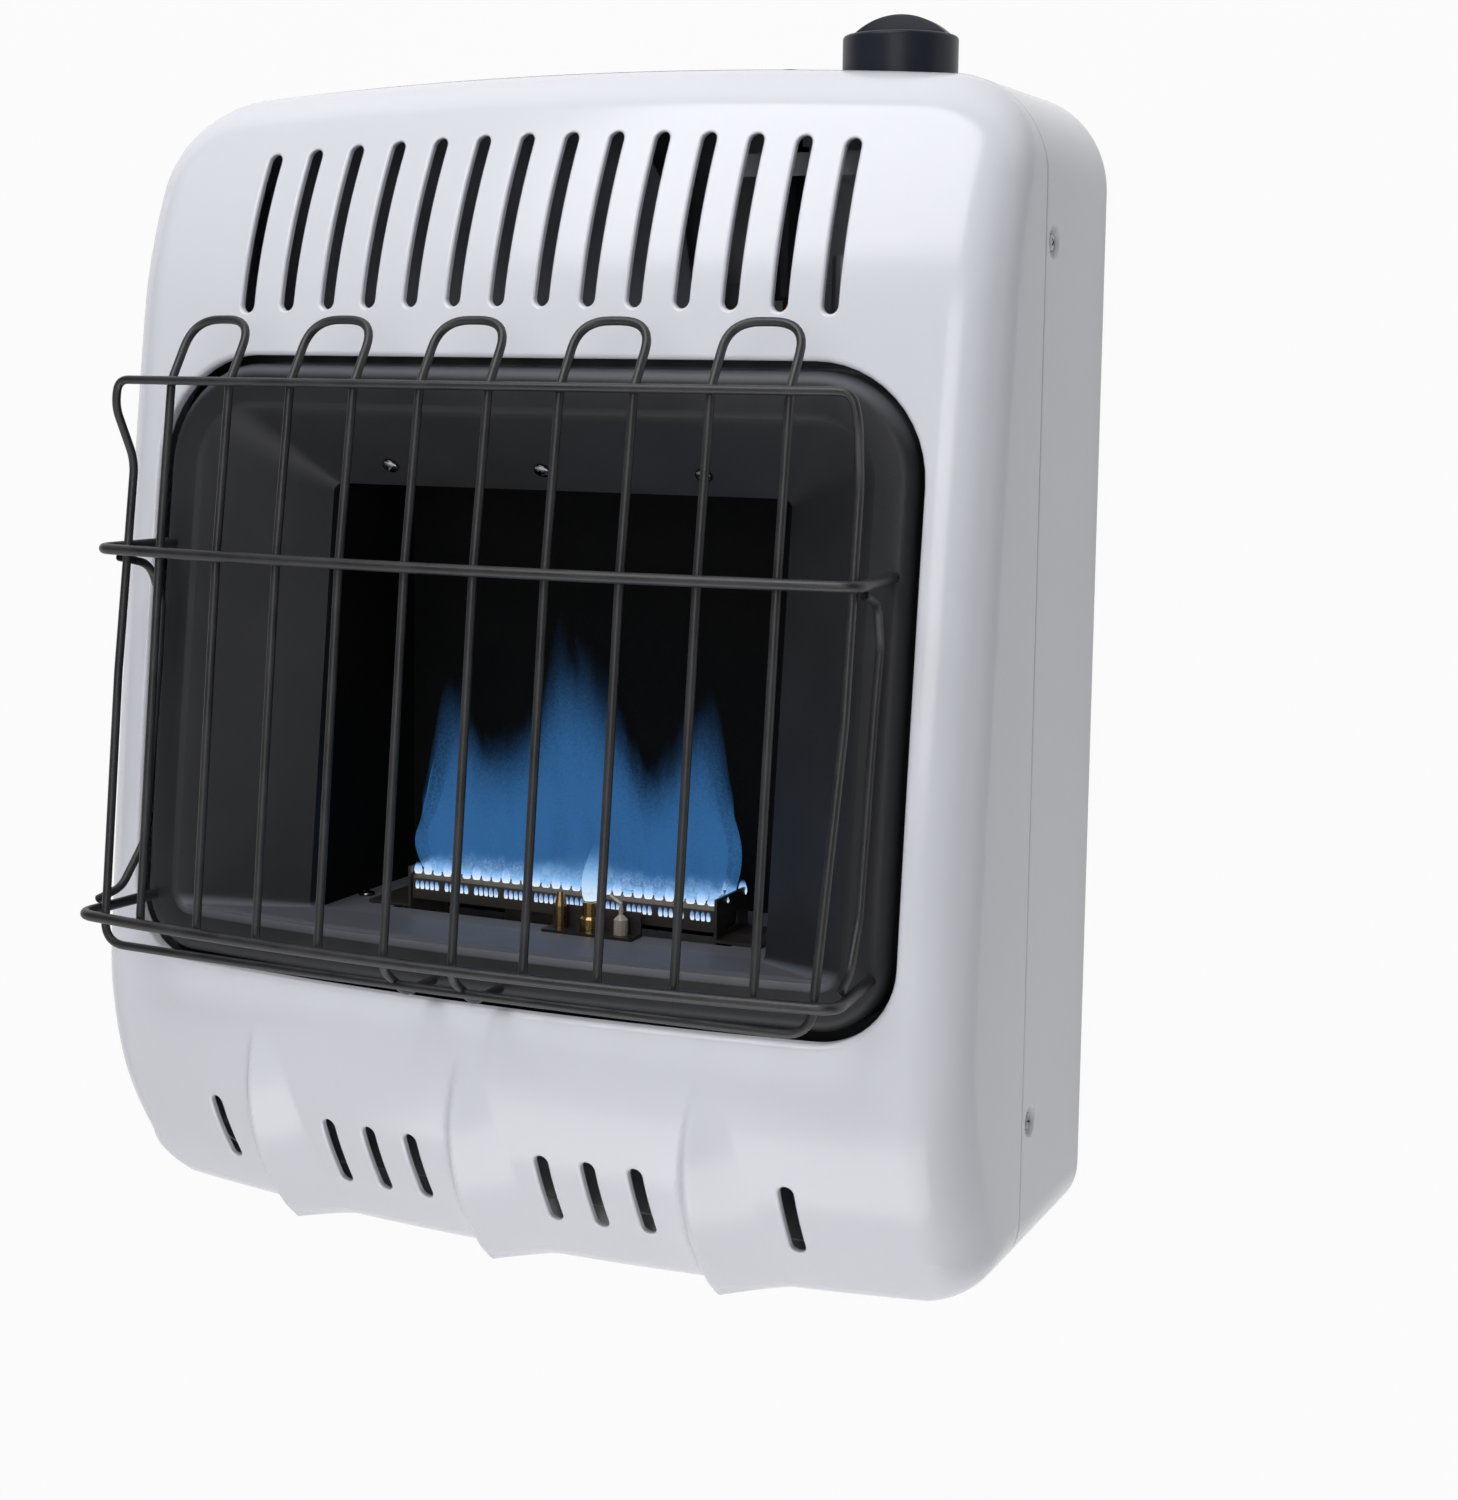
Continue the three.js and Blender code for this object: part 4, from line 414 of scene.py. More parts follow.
def slot_edge(x, low, high, width):
    """Edge of an upright slot with round ends."""
    radius = width / 2
    ends = ((high - radius, 0), (low + radius, 2 * quarter))
    return closed_edge([(x, z, radius, start, 2 * quarter, 10) for z, start in ends],
                       [max(round((high - low) / 7), 2)] * 2)


def rounded_edge(half_width, low, high, lower_radius, upper_radius):
    """Edge of a window with round corners, from the lower right one upward and round."""
    low_x, high_x = half_width - lower_radius, half_width - upper_radius
    low_z, high_z = low + lower_radius, high - upper_radius
    corners = ((low_x, low_z, lower_radius, -quarter), (high_x, high_z, upper_radius, 0),
               (-high_x, high_z, upper_radius, quarter), (-low_x, low_z, lower_radius, 2 * quarter))
    return closed_edge([(*corner, quarter, 12) for corner in corners], (30, 56, 30, 60))


def turned_in_rings(radius, depth):
    """Profile of an edge that is turned in: way off the hole, depth, and turn of its facing."""
    rings = [(radius * (1 - sin(angle)), radius * (1 - cos(angle)), angle)
             for angle in [step / 5 * quarter for step in range(1, 6)]]
    return rings + [(0, depth, quarter)]


def cover_lip(x, z, out_x, out_z, off, back, turn):
    x, z = x + out_x * off, z + out_z * off
    facing = cover_facing(x, z) * cos(turn) - Vector((out_x, 0, out_z)) * sin(turn)
    return Vector((x, cover_y(x, z) + back, z)), facing.normalized()


WINDOW_HALF_WIDTH, WINDOW_BOTTOM, WINDOW_TOP = 172, 116.2, 369.9
WINDOW_UPPER_RADIUS, WINDOW_LOWER_RADIUS = 46, 30
UPPER_SLOT_PITCH, UPPER_SLOT_WIDTH, UPPER_SLOT_FOOT, UPPER_SLOT_TOP = 20.14, 6.4, 390.2, 459.9
LOWER_SLOT_WIDTH, LOWER_SLOT_FOOT, LOWER_SLOT_TOP = 6, 27.6, 58.3
window_edge = rounded_edge(WINDOW_HALF_WIDTH, WINDOW_BOTTOM, WINDOW_TOP,
                           WINDOW_LOWER_RADIUS, WINDOW_UPPER_RADIUS)
openings = [(window_edge, 2.4, 6)]       # edge, radius and depth of the turned-in sheet
for number in range(14):
    x = (number - 6.5) * UPPER_SLOT_PITCH
    fall = (x / 130) ** 2
    openings.append((slot_edge(x, UPPER_SLOT_FOOT - 2.7 * fall, UPPER_SLOT_TOP - 5.5 * fall,
                               UPPER_SLOT_WIDTH), 1.3, 3))
for place in (30, 50, 70, 130.4):
    openings += [(slot_edge(side * place, LOWER_SLOT_FOOT, LOWER_SLOT_TOP, LOWER_SLOT_WIDTH), 1.2, 3)
                 for side in (-1, 1)]

EDGE_STEPS = 14
TUCK = 0.8               # radius of the cover's rear edge, where it meets the casing
cover = SheetMetal()
stations = outline_stations({"base": 2, "left": 6, "right": 6, "crown": 6})
backward = Vector((0, 1, 0))
outward = [Vector((out_x, 0, out_z)) for _, _, _, _, out_x, out_z in stations]
rear = [Vector((x, -CASING_DEPTH, z)) for _, _, x, z, _, _ in stations]
flat_part = []
for station, point in zip(stations, rear):
    rolled_y = cover_edge(station, 0).y
    y = rolled_y + 14 if station[0] == "base" else mix(-CASING_DEPTH, rolled_y, 0.5)
    flat_part.append(Vector((point.x, y, point.z)))
rings = [
    cover.ring([p - o * TUCK for p, o in zip(rear, outward)], [backward] * len(stations)),
    cover.ring([p - (o + backward) * TUCK * 0.3 for p, o in zip(rear, outward)],
               [(o + backward).normalized() for o in outward]),
    cover.ring([p - backward * TUCK for p in rear], outward),
    cover.ring(flat_part, outward),
]
for step in range(EDGE_STEPS + 1):
    angle = step / EDGE_STEPS * quarter
    points = [cover_edge(s, angle) for s in stations]
    facings = []
    for index, station in enumerate(stations):
        ahead, behind = points[(index + 1) % len(points)], points[index - 1]
        across_roll = cover_edge(station, angle + 0.02) - cover_edge(station, max(angle - 0.02, 0))
        facings.append(across_roll.cross(ahead - behind).normalized())
    if step == EDGE_STEPS:
        facings = [cover_facing(p.x, p.z) for p in points]
    facings = [f if f.dot(o - backward) > 0 else -f for f, o in zip(facings, outward)]
    rings.append(cover.ring(points, facings))
cover.chain(rings)
inner_rings = [cover.inside_of(ring, SHEET) for ring in rings[2:]]
cover.chain(inner_rings[::-1] + rings[:1])

rim = [(cover.points[i].x, cover.points[i].z) for i in rings[-1]]
hole_loops = [[(x + out_x * radius, z + out_z * radius) for x, z, out_x, out_z in edge]
              for edge, radius, depth in openings]
spots = [(x + (row % 2) * 3, z) for row, z in enumerate(np.arange(8, 480, 5.2))
         for x in np.arange(-183, 184, 6)]
spots = [(x, z) for x, z in spots if z > 104 or min(abs(x - place) for place in RIB_PLACES) > 23]
spots += [(place + x + (row % 2) * 1.2, z) for place in RIB_PLACES
          for row, z in enumerate(np.arange(6, 104, 1.9)) for x in np.arange(-22, 22, 2)]
made, triangles, loops = fill_sheet(rim, hole_loops, spots, 1.9)

outer, inner = dict(zip(loops[0], rings[-1])), dict(zip(loops[0], inner_rings[-1]))
for index, point in enumerate(made):
    if index not in outer:
        place = Vector((point.x, cover_y(*point), point.y))
        outer[index] = cover.ring([place], [cover_facing(*point)])[0]
        inner[index] = cover.inside_of([outer[index]], SHEET)[0]
cover.sheet(triangles, outer, inner)
for (edge, radius, depth), loop in zip(openings, loops[1:]):
    rings = cover.lip([outer[i] for i in loop], edge, turned_in_rings(radius, depth), cover_lip)
    rings.append(cover.ring(
        [Vector((x + out_x * radius, cover_y(x, z) + depth, z + out_z * radius))
         for x, z, out_x, out_z in edge],
        [Vector((out_x, 0.3, out_z)).normalized() for _, _, out_x, out_z in edge]))
    cover.chain(rings + [[inner[i] for i in loop]])


def new_group(name, inputs, outputs):
    """An empty shader group with its sockets, given as {kind: names}, and its two ends."""
    group = bpy.data.node_groups.new(name, "ShaderNodeTree")
    for way, sockets in (("INPUT", inputs), ("OUTPUT", outputs)):
        for kind, socket in [(kind, socket) for kind in sockets for socket in sockets[kind]]:
            group.interface.new_socket(name=socket, in_out=way, socket_type="NodeSocket" + kind)
    return group, group.nodes.new("NodeGroupInput").outputs, group.nodes.new("NodeGroupOutput")


def wavy(tree, start, scale, detail):
    return add_node(tree, "TexNoise", {"Vector": start, "Scale": scale, "Detail": detail})["Fac"]


def ranged(tree, value, low, high, start=0.3, end=0.7, curve="LINEAR"):
    """The value brought from start and end, a noise's usual spread, to low and high."""
    return add_node(tree, "MapRange", {"Value": value, "From Min": start, "From Max": end,
                                       "To Min": low, "To Max": high}, interpolation_type=curve)["Result"]


def blended(tree, share, first, second):
    return add_node(tree, "Mix", {"Factor": share, "A": first, "B": second}, data_type="RGBA")["Result"]


# large soft patches, small grain, a roughness that follows both, and a lighter colour painted on what
# faces up: painted light standing in for the light from above
skin, given, skin_out = new_group(
    "surface_skin",
    {"Color": ("Colour", "Worn Colour", "Painted Top Light Colour"), "Vector": ("Stretch",),
     "Float": ("Patch Scale", "Grain Scale", "Roughness Low", "Roughness High", "Painted Top Light Share")},
    {"Color": ("Colour",), "Float": ("Roughness", "Height")},
)
where = add_node(skin, "TexCoord", {})["Object"]
stretched = add_node(skin, "VectorMath", {0: where, 1: given["Stretch"]}, operation="MULTIPLY")[0]
patches = wavy(skin, stretched, given["Patch Scale"], 3.0)
grain = wavy(skin, stretched, given["Grain Scale"], 1.5)
tint = blended(skin, ranged(skin, patches, 0, 1), given["Colour"], given["Worn Colour"])
both = maths(skin, "MULTIPLY_ADD", patches, 0.5, maths(skin, "MULTIPLY", grain, 0.5))
facing = add_node(skin, "NewGeometry", {})["Normal"]
painted_top_light_mask = ranged(skin, add_node(skin, "SeparateXYZ", {0: facing})["Z"], 0, given["Painted Top Light Share"])
feed(skin, skin_out, {
    "Colour": blended(skin, painted_top_light_mask, tint, given["Painted Top Light Colour"]),
    "Roughness": ranged(skin, both, given["Roughness Low"], given["Roughness High"]),
    "Height": grain,
})


def coated(name, colour, worn, roughness, grain, metallic=0.0, stretch=(1, 1, 1), specular=0.5,
           painted_top_light=(0, 0, 0), painted_top_light_share=0.0):
    """A finish of two colours. Its grain is three numbers: the scale of the soft patches, the
    scale of the grain, and the depth of the grain in millimetres."""
    patch_scale, grain_scale, grain_depth = grain
    paint, tree, shader = new_material(name)
    effect = add_node(tree, "Group", {
        "Colour": (*colour, 1), "Worn Colour": (*worn, 1),
        "Patch Scale": patch_scale, "Grain Scale": grain_scale,
        "Roughness Low": roughness[0], "Roughness High": roughness[1], "Stretch": stretch,
        "Painted Top Light Colour": (*painted_top_light, 1), "Painted Top Light Share": painted_top_light_share,
    }, node_tree=skin)
    bump = add_node(tree, "Bump", {"Distance": grain_depth / 1000, "Height": effect["Height"]})
    feed(tree, shader, {
        "Metallic": metallic, "Specular IOR Level": specular, "Base Color": effect["Colour"],
        "Roughness": effect["Roughness"], "Normal": bump["Normal"],
    })
    return paint


def hand_over(piece, material, node, body="heater_body"):
    """Gives the piece its finish and the body it rides on, and hides the solid it stands for."""
    piece.data.materials.append(material)
    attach(piece, body)
    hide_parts(node)


white_enamel = coated("white_enamel", (0.775, 0.785, 0.84), (0.76, 0.77, 0.825), (0.15, 0.22),
                      (9, 420, 0.014))
hand_over(cover.piece("cover_skin"), white_enamel, "front_cover")


# ---------------- rear casing
# The casing is one deep wrap of the same sheet, butted to the cover along a fine seam. Each
# side has two pressed dimples for the screws, and the crown is pierced for knob and button.
CASING_FRONT = -83.4
SCREW_Y, SCREW_HEIGHTS = -72.8, (66.3, 416.7)
KNOB_X, KNOB_Y, BUTTON_X, INLET_X, INLET_Y = 126.5, -58, 79, 150, -44

body_length = sum(length for length, place in BODY_RUNS.values())


def body_at(s):
    """x, z and facing at a way s along the body outline."""
    for length, place in BODY_RUNS.values():
        if s <= length + 1e-6:
            return place(min(s / length, 1))
        s -= length
    return place(1)


def casing_point(s, y, inset=0.0):
    x, z, out_x, out_z = body_at(s)
    return Vector((x - out_x * inset, y, z - out_z * inset))


def casing_facing(s):
    return Vector((body_at(s)[2], 0, body_at(s)[3]))


def round_hole(s, y, radius, steps=32):
    return [on_arc(s, y, radius, 2 * pi * step / steps) for step in range(steps)]


def run_start(name):
    return sum(BODY_RUNS[run][0] for run in list(BODY_RUNS)[:list(BODY_RUNS).index(name)])


def crown_way(x):
    angle = acos(x / CROWN_RADIUS)
    return run_start("crown") + (angle - (quarter - crown_angle)) * CROWN_RADIUS


def casing_lip(way, y, out_way, out_y, off, depth, turn):
    here = way + out_way * off
    tangent = casing_facing(here).cross(backward)
    if tangent.dot(casing_point(here + 0.1, y) - casing_point(here, y)) <= 0:
        tangent = -tangent
    facing = (casing_facing(here) * cos(turn)
              - (backward * out_y + tangent * out_way) * sin(turn))
    return casing_point(here, y + out_y * off, depth), facing.normalized()


DIMPLE_RADIUS = 7.2
dimple_rings = ((6.9, 0.06, 0.3), (6.5, 0.26, 0.6), (6.2, 0.6, 0.8), (4.9, 1.9, 0.8),
                (4.5, 2.25, 0.4), (4.2, 2.4, 0.0), (2.1, 2.4, 0.0), (2.1, 3.6, quarter))
rings = [(radius - DIMPLE_RADIUS, depth, turn) for radius, depth, turn in dimple_rings]
casing_holes = []
for height in SCREW_HEIGHTS:
    for way in (run_start("right") + height - lower_corner_z,
                run_start("left") + upper_corner_z - height):
        casing_holes.append((round_hole(way, SCREW_Y, DIMPLE_RADIUS), rings))
lip = [(off - 0.8, depth, turn) for off, depth, turn in turned_in_rings(0.8, 2.4)]
for way, y, radius in ((crown_way(KNOB_X), KNOB_Y, 24.8), (crown_way(BUTTON_X), KNOB_Y, 7.0),
                       (lower_corner_x + INLET_X, INLET_Y, 13)):
    casing_holes.append((round_hole(way, y, radius + 0.8, 48), lip))

casing = SheetMetal()
ways = [run_start(run) + t * BODY_RUNS[run][0] for run, t, *_ in outline_stations(
    {"base": 12, "left": 12, "right": 12, "crown": 8})] + [body_length]
front_y = CASING_FRONT + TUCK
rows = [mix(front_y, 0, step / 8) for step in range(9)]
rim = ([(way, front_y) for way in ways] + [(body_length, y) for y in rows[1:]]
       + [(way, 0.0) for way in reversed(ways[:-1])] + [(0.0, y) for y in reversed(rows[1:-1])])
spots = [(way, y) for way in ways[1:-1] for y in rows[1:-1]]
hole_loops = [[(a, b) for a, b, _, _ in edge] for edge, lip in casing_holes]
made, triangles, loops = fill_sheet(rim, hole_loops, spots, 1.4)
outer, inner, pairs = {}, {}, {}
for index, (way, y) in enumerate(made):
    key = (round(way, 2) % round(body_length, 2), round(y, 2))       # the outline closes on itself
    if key not in pairs:
        point = casing.ring([casing_point(way, y)], [casing_facing(way)])
        pairs[key] = point[0], casing.inside_of(point, SHEET)[0]
    outer[index], inner[index] = pairs[key]
casing.sheet(triangles, outer, inner)
front_edge, back_start = loops[0][:len(ways) - 1], len(ways) + len(rows) - 2
back_edge = loops[0][back_start:back_start + len(ways) - 1]
rounded = casing.ring(
    [casing_point(way, front_y - TUCK * 0.7, TUCK * 0.3) for way in ways[:-1]],
    [(casing_facing(way) - backward).normalized() for way in ways[:-1]])
blunt = casing.ring([casing_point(way, CASING_FRONT, TUCK) for way in ways[:-1]],
                    [-backward] * (len(ways) - 1))
casing.chain([[outer[i] for i in front_edge], rounded, blunt, [inner[i] for i in front_edge]])
casing.bridge([outer[i] for i in back_edge], [inner[i] for i in back_edge])
for (edge, lip), loop in zip(casing_holes, loops[1:]):
    rings = casing.lip([outer[i] for i in loop], edge, lip, casing_lip)
    casing.chain(rings + [[inner[i] for i in loop]])
hand_over(casing.piece("casing_skin"), white_enamel, "rear_casing")


# ---------------- firebox bezel
# A frame of thinner sheet in charcoal heat-proof enamel: a rolled rim inside the cover's
# window, a flat land, then four sloping panels that run back to the firebox opening.
BEZEL_GAP, BEZEL_RECESS, BEZEL_ROLL, BEZEL_LAND, BEZEL_SKIRT, BEZEL_SHEET = 3.5, 2, 6, 10, 24, 1
OPENING_HALF_WIDTH, OPENING_BOTTOM, OPENING_TOP, OPENING_CORNER = 106, 134.5, 316, 4


def bezel_y(x, z):
    return -(face_depth(x, z) - BEZEL_RECESS)


def opening_y(z):
    return -mix(135, 114, (z - OPENING_BOTTOM) / (OPENING_TOP - OPENING_BOTTOM))


def bezel_ring(inset, back):
    points = []
    for x, z, out_x, out_z in window_edge:
        x, z = x - out_x * (BEZEL_GAP + inset), z - out_z * (BEZEL_GAP + inset)
        points.append(Vector((x, bezel_y(x, z) + back, z)))
    return points


def opening_ring(back):
    edge = rounded_edge(OPENING_HALF_WIDTH, OPENING_BOTTOM, OPENING_TOP, OPENING_CORNER, OPENING_CORNER)
    return [Vector((x, opening_y(z) + back, z)) for x, z, _, _ in edge]


# way in from the window's edge, and way back from the rim's front
bezel_profile = [(-14, BEZEL_SKIRT), (-1.2, BEZEL_SKIRT), (-0.3, BEZEL_SKIRT - 0.3),
                 (0, BEZEL_SKIRT - 1.4)]
for step in range(9):
    angle = step / 8 * quarter
    bezel_profile.append((BEZEL_ROLL * (1 - cos(angle)), BEZEL_ROLL * (1 - sin(angle))))
land_end = BEZEL_ROLL + BEZEL_LAND
bezel_profile += [(land_end - 0.6, 0), (land_end, 0.15), (land_end + 2.1, 1.5), (land_end + 2.5, 1.8)]
front_rings = [bezel_ring(inset, back) for inset, back in bezel_profile]
funnel_start, funnel_end = front_rings[-1], opening_ring(0)
for step in range(1, 12):
    front_rings.append([a.lerp(b, step / 12) for a, b in zip(funnel_start, funnel_end)])
front_rings += [funnel_end, opening_ring(1.2), opening_ring(8)]
bezel = SheetMetal()
count = len(funnel_end)
face_rings = [bezel.ring(points) for points in front_rings]
back_rings = []
for index, points in enumerate(front_rings):
    ahead = front_rings[min(index + 1, len(front_rings) - 1)]
    behind = front_rings[max(index - 1, 0)]
    shifted = []
    for i in range(count):
        around = points[(i + 1) % count] - points[i - 1]
        facing = around.cross(ahead[i] - behind[i]).normalized()
        if index > 3 and facing.y > 0:
            facing = -facing
        shifted.append(points[i] - facing * BEZEL_SHEET)
    back_rings.append(bezel.ring(shifted))
bezel.chain([back_rings[0]] + face_rings + back_rings[::-1])
# its upward faces are painted a lighter grey, painted light from above on the bezel's lower panels and
# the tray
charcoal_enamel = coated("charcoal_enamel", (0.016, 0.0165, 0.019), (0.022, 0.0225, 0.026),
                         (0.42, 0.55), (22, 1500, 0.05), specular=0.35,
                         painted_top_light=(0.125, 0.129, 0.147), painted_top_light_share=0.9)
hand_over(bezel.piece("bezel_skin", sharp_angle=32), charcoal_enamel,
          "firebox_bezel")


# ---------------- wire guard
# Bent from round steel wire and dipped black: two heavier rods plug into the bezel, and a
# rim, five hairpins and two short side wires are spot-welded to them.
ROD_RADIUS, WIRE_RADIUS = 2.2, 1.75
MIDDLE_HEIGHT, LOWER_HEIGHT, RIM_HEIGHT = 290.6, 141.5, 359.3
MIDDLE_REACH, LOWER_REACH = 210.8, 226.4

black_wire = coated("black_wire", (0.014, 0.014, 0.016), (0.03, 0.03, 0.032), (0.32, 0.5),
                    (60, 1800, 0.06))


def bent(corners, radius, steps=9):
    path = [corners[0]]
    for before, corner, after in zip(corners, corners[1:], corners[2:]):
        back, on = before - corner, after - corner
        half_angle = back.angle(on) / 2
        setback = min(radius / max(tan(half_angle), 1e-6), 0.48 * min(back.length, on.length))
        start, end = corner + back.normalized() * setback, corner + on.normalized() * setback
        for step in range(steps + 1):
            t = step / steps
            path.append(start * (1 - t) ** 2 + corner * 2 * t * (1 - t) + end * t * t)
    return path + [corners[-1]]


def turns(count):
    """Cosine and sine of evenly spaced angles, once round."""
    angles = [2 * pi * k / count for k in range(count)]
    return [(cos(angle), sin(angle)) for angle in angles]


def round_bar(metal, path, radius, sides=14):
    """A round wire along the path, with slightly domed ends."""
    path = [p for i, p in enumerate(path) if i == 0 or (p - path[i - 1]).length > 0.02]
    end = len(path) - 1
    along = [(path[min(i + 1, end)] - path[max(i - 1, 0)]).normalized() for i in range(len(path))]
    side = along[0].orthogonal().normalized()
    levels = []
    for index, (point, direction) in enumerate(zip(path, along)):
        side = (side - direction * side.dot(direction)).normalized()
        other = direction.cross(side)
        facings = [side * c + other * s for c, s in turns(sides)]
        rings = [(point, radius)]
        if index == 0:
            rings = [(point - direction * radius * 0.25, radius * 0.7), (point, radius)]
        if index == end:
            rings = [(point, radius), (point + direction * radius * 0.25, radius * 0.7)]
        levels += [([centre + f * reach for f in facings], facings) for centre, reach in rings]
    metal.stack(levels)


def lump(metal, centre, size):
    """A small weld: a rounded bead between two wires."""
    levels = []
    for polar in [level / 6 * pi for level in range(1, 6)]:
        facings = [Vector((sin(polar) * c, sin(polar) * s, cos(polar)))
                   for c, s in turns(10)]
        levels.append(([centre + f * size for f in facings], facings))
    metal.stack(levels)


def bowed(reach, x):
    return -(reach - 13 * (x / 166.5) ** 2)


def rim_top_y(x):
    return -(199 - 8 * (x / 150) ** 2)


def mirrored(half):
    return [Vector((-p.x, p.y, p.z)) for p in reversed(half)]


def wire_piece(name, path, bend, node, radius=WIRE_RADIUS, sides=14, welds=()):
    metal = SheetMetal()
    round_bar(metal, bent(path, bend), radius, sides)
    for weld, size in welds:
        lump(metal, weld, size)
    hand_over(metal.piece(name), black_wire, node)


for name, height, reach in (("middle_rod", MIDDLE_HEIGHT, MIDDLE_REACH),
                            ("lower_rod", LOWER_HEIGHT, LOWER_REACH)):
    half = [Vector((x, bowed(reach, x), height)) for x in (0, 30, 60, 90, 120, 145, 166.5)]
    half.append(Vector((161.5, bezel_y(161.5, height) + 9, height)))
    wire_piece(f"wire_{name}", mirrored(half[1:]) + half, 9, f"guard_{name}", ROD_RADIUS, 16)

half = [Vector((x, -(215 - 4 * (x / 150) ** 2), 130)) for x in (0.2, 40, 80, 120)]
half += [Vector(point) for point in (
    (156, -210.5, 130), (156.6, -207, 152), (160, -193.3, 240),
    (159.6, -181.3, 326), (162, -190, 348), (160, -191, 359.3))]
half += [Vector((x, rim_top_y(x), RIM_HEIGHT)) for x in (120, 80, 40, 0)]
wire_piece("wire_rim", half + mirrored(half[:-1]), 22, "guard_rim")

HAIRPIN_PITCH, HAIRPIN_HALF, HAIRPIN_TOP, HAIRPIN_LEAN, HOOK_HEIGHT = 60, 15, 384, 16, 125
for number in range(5):
    centre = (number - 2) * HAIRPIN_PITCH
    legs, welds = [], []
    for x in (centre - HAIRPIN_HALF, centre + HAIRPIN_HALF):
        low_y = bowed(LOWER_REACH, x) + ROD_RADIUS + WIRE_RADIUS + 0.3
        middle_y = bowed(MIDDLE_REACH, x) + ROD_RADIUS + WIRE_RADIUS + 0.3
        rim_y = rim_top_y(x) + 2 * WIRE_RADIUS + 0.3
        leg = [(x, low_y, LOWER_HEIGHT - 1.8)]
        if number == 2:
            leg = [(x, bezel_y(x, HOOK_HEIGHT) - WIRE_RADIUS - 0.3, HOOK_HEIGHT),
                   (x, low_y + 16, HOOK_HEIGHT), (x, low_y, HOOK_HEIGHT + 12)]
        leg += [(x, low_y, LOWER_HEIGHT + 3), (x, middle_y, MIDDLE_HEIGHT),
                (x, rim_y, RIM_HEIGHT), (x, rim_y + HAIRPIN_LEAN, HAIRPIN_TOP)]
        legs.append([Vector(point) for point in leg])
        welds += [(Vector((x, y - WIRE_RADIUS, height)), Vector(size)) for y, height, size in (
            (low_y, LOWER_HEIGHT, (2.0, 1.1, 1.7)), (middle_y, MIDDLE_HEIGHT, (2.0, 1.1, 1.7)),
            (rim_y, RIM_HEIGHT, (1.7, 1.0, 1.4)))]
    wire_piece(f"wire_hairpin_{number + 1}", legs[0] + legs[1][::-1], 13,
               f"guard_hairpin_{number + 1}", welds=welds)

for name, side in (("left", -1), ("right", 1)):
    path = [Vector((side * x, y, z)) for x, y, z in (
        (164.5, -186, 286.35), (162.5, -168, 282.35), (161.5, -161.5, 266), (160.9, -165, 240),
        (160.8, -176.4, 166), (162.5, -190, 148.75), (164.5, -203, 145.75))]
    wire_piece(f"wire_side_{name}", path, 12, f"guard_side_wire_{name}")


# ---------------- control knob and button
# The knob is moulded in black plastic: a plain round skirt with an arched grip across its
# top. The igniter's button stands in its own hole; its cap is hollow and slides over the spring.
KNOB_BASE, KNOB_RIM, KNOB_TOP, KNOB_RADIUS = 474, 499.6, 508, 23.2
BUTTON_RADIUS, BUTTON_TOP = 5.4, 488.2
GRIP_HALF, GRIP_THICK, GRIP_BEND = 20.5, 4.5, 0.9


def round_level(centre, wide, deep, count, lift=0.0):
    """An upright level ring of count points, and the way each faces."""
    return ([centre + Vector((wide * c, deep * s, 0)) for c, s in turns(count)],
            [Vector((c, s, lift)).normalized() for c, s in turns(count)])


def turned_shell(metal, profile, x, y, sides):
    """A round part: (radius, height) pairs from its lower to its upper end, turned upright."""
    metal.stack([round_level(Vector((x, y, height)), radius, radius, sides)
                 for radius, height in profile])


def rounded_over(radius, height, bend):
    """The end of a profile that is rounded over from its side to its top."""
    return [(radius - bend * (1 - cos(a)), height - bend * (1 - sin(a)))
            for a in [step / 6 * quarter for step in range(7)]]


black_plastic = coated("black_plastic", (0.015, 0.0175, 0.026), (0.02, 0.0225, 0.031), (0.3, 0.4),
                       (40, 2600, 0.03), specular=0.2)
metal = SheetMetal()
skirt = [(22.4, KNOB_BASE), (23.0, KNOB_BASE + 0.6), (KNOB_RADIUS, KNOB_BASE + 1.4),
         (KNOB_RADIUS, KNOB_RIM - 4)]
turned_shell(metal, skirt + rounded_over(KNOB_RADIUS, KNOB_RIM, 1.5) + [(18, KNOB_RIM), (10, KNOB_RIM)],
             KNOB_X, KNOB_Y, 96)
rise = KNOB_TOP - KNOB_RIM
grip_radius = (GRIP_HALF ** 2 + rise ** 2) / (2 * rise)
grip_angle = asin(GRIP_HALF / grip_radius)
near_side = [(GRIP_THICK, GRIP_BEND), (GRIP_THICK - 0.25, 0.35), (GRIP_THICK - GRIP_BEND, 0)]
levels = []
for off, drop in near_side + [(-off, drop) for off, drop in reversed(near_side)]:
    y, reach = KNOB_Y - off, grip_radius - drop
    arch = [Vector((KNOB_X + reach * sin(a), y, KNOB_TOP - grip_radius + reach * cos(a)))
            for a in [mix(-grip_angle, grip_angle, step / 28) for step in range(29)]]
    arch += [Vector((KNOB_X + side * (GRIP_HALF - 1), y, KNOB_RIM - 1)) for side in (1, -1)]
    levels.append((arch,))
metal.stack(levels)
hand_over(metal.piece("knob", sharp_angle=40), black_plastic, "control_knob", "knob")

metal = SheetMetal()
hollow = [(2.6, 456), (2.6, 482), (4.5, 482), (4.5, 474)]
turned_shell(metal, hollow + [(5.0, 474), (BUTTON_RADIUS, 474.5), (BUTTON_RADIUS, 486)]
             + rounded_over(BUTTON_RADIUS, BUTTON_TOP, 1.4) + [(2.5, BUTTON_TOP)],
             BUTTON_X, KNOB_Y, 48)
hand_over(metal.piece("button", sharp_angle=40), black_plastic,
          "igniter_button", "ignition_button")


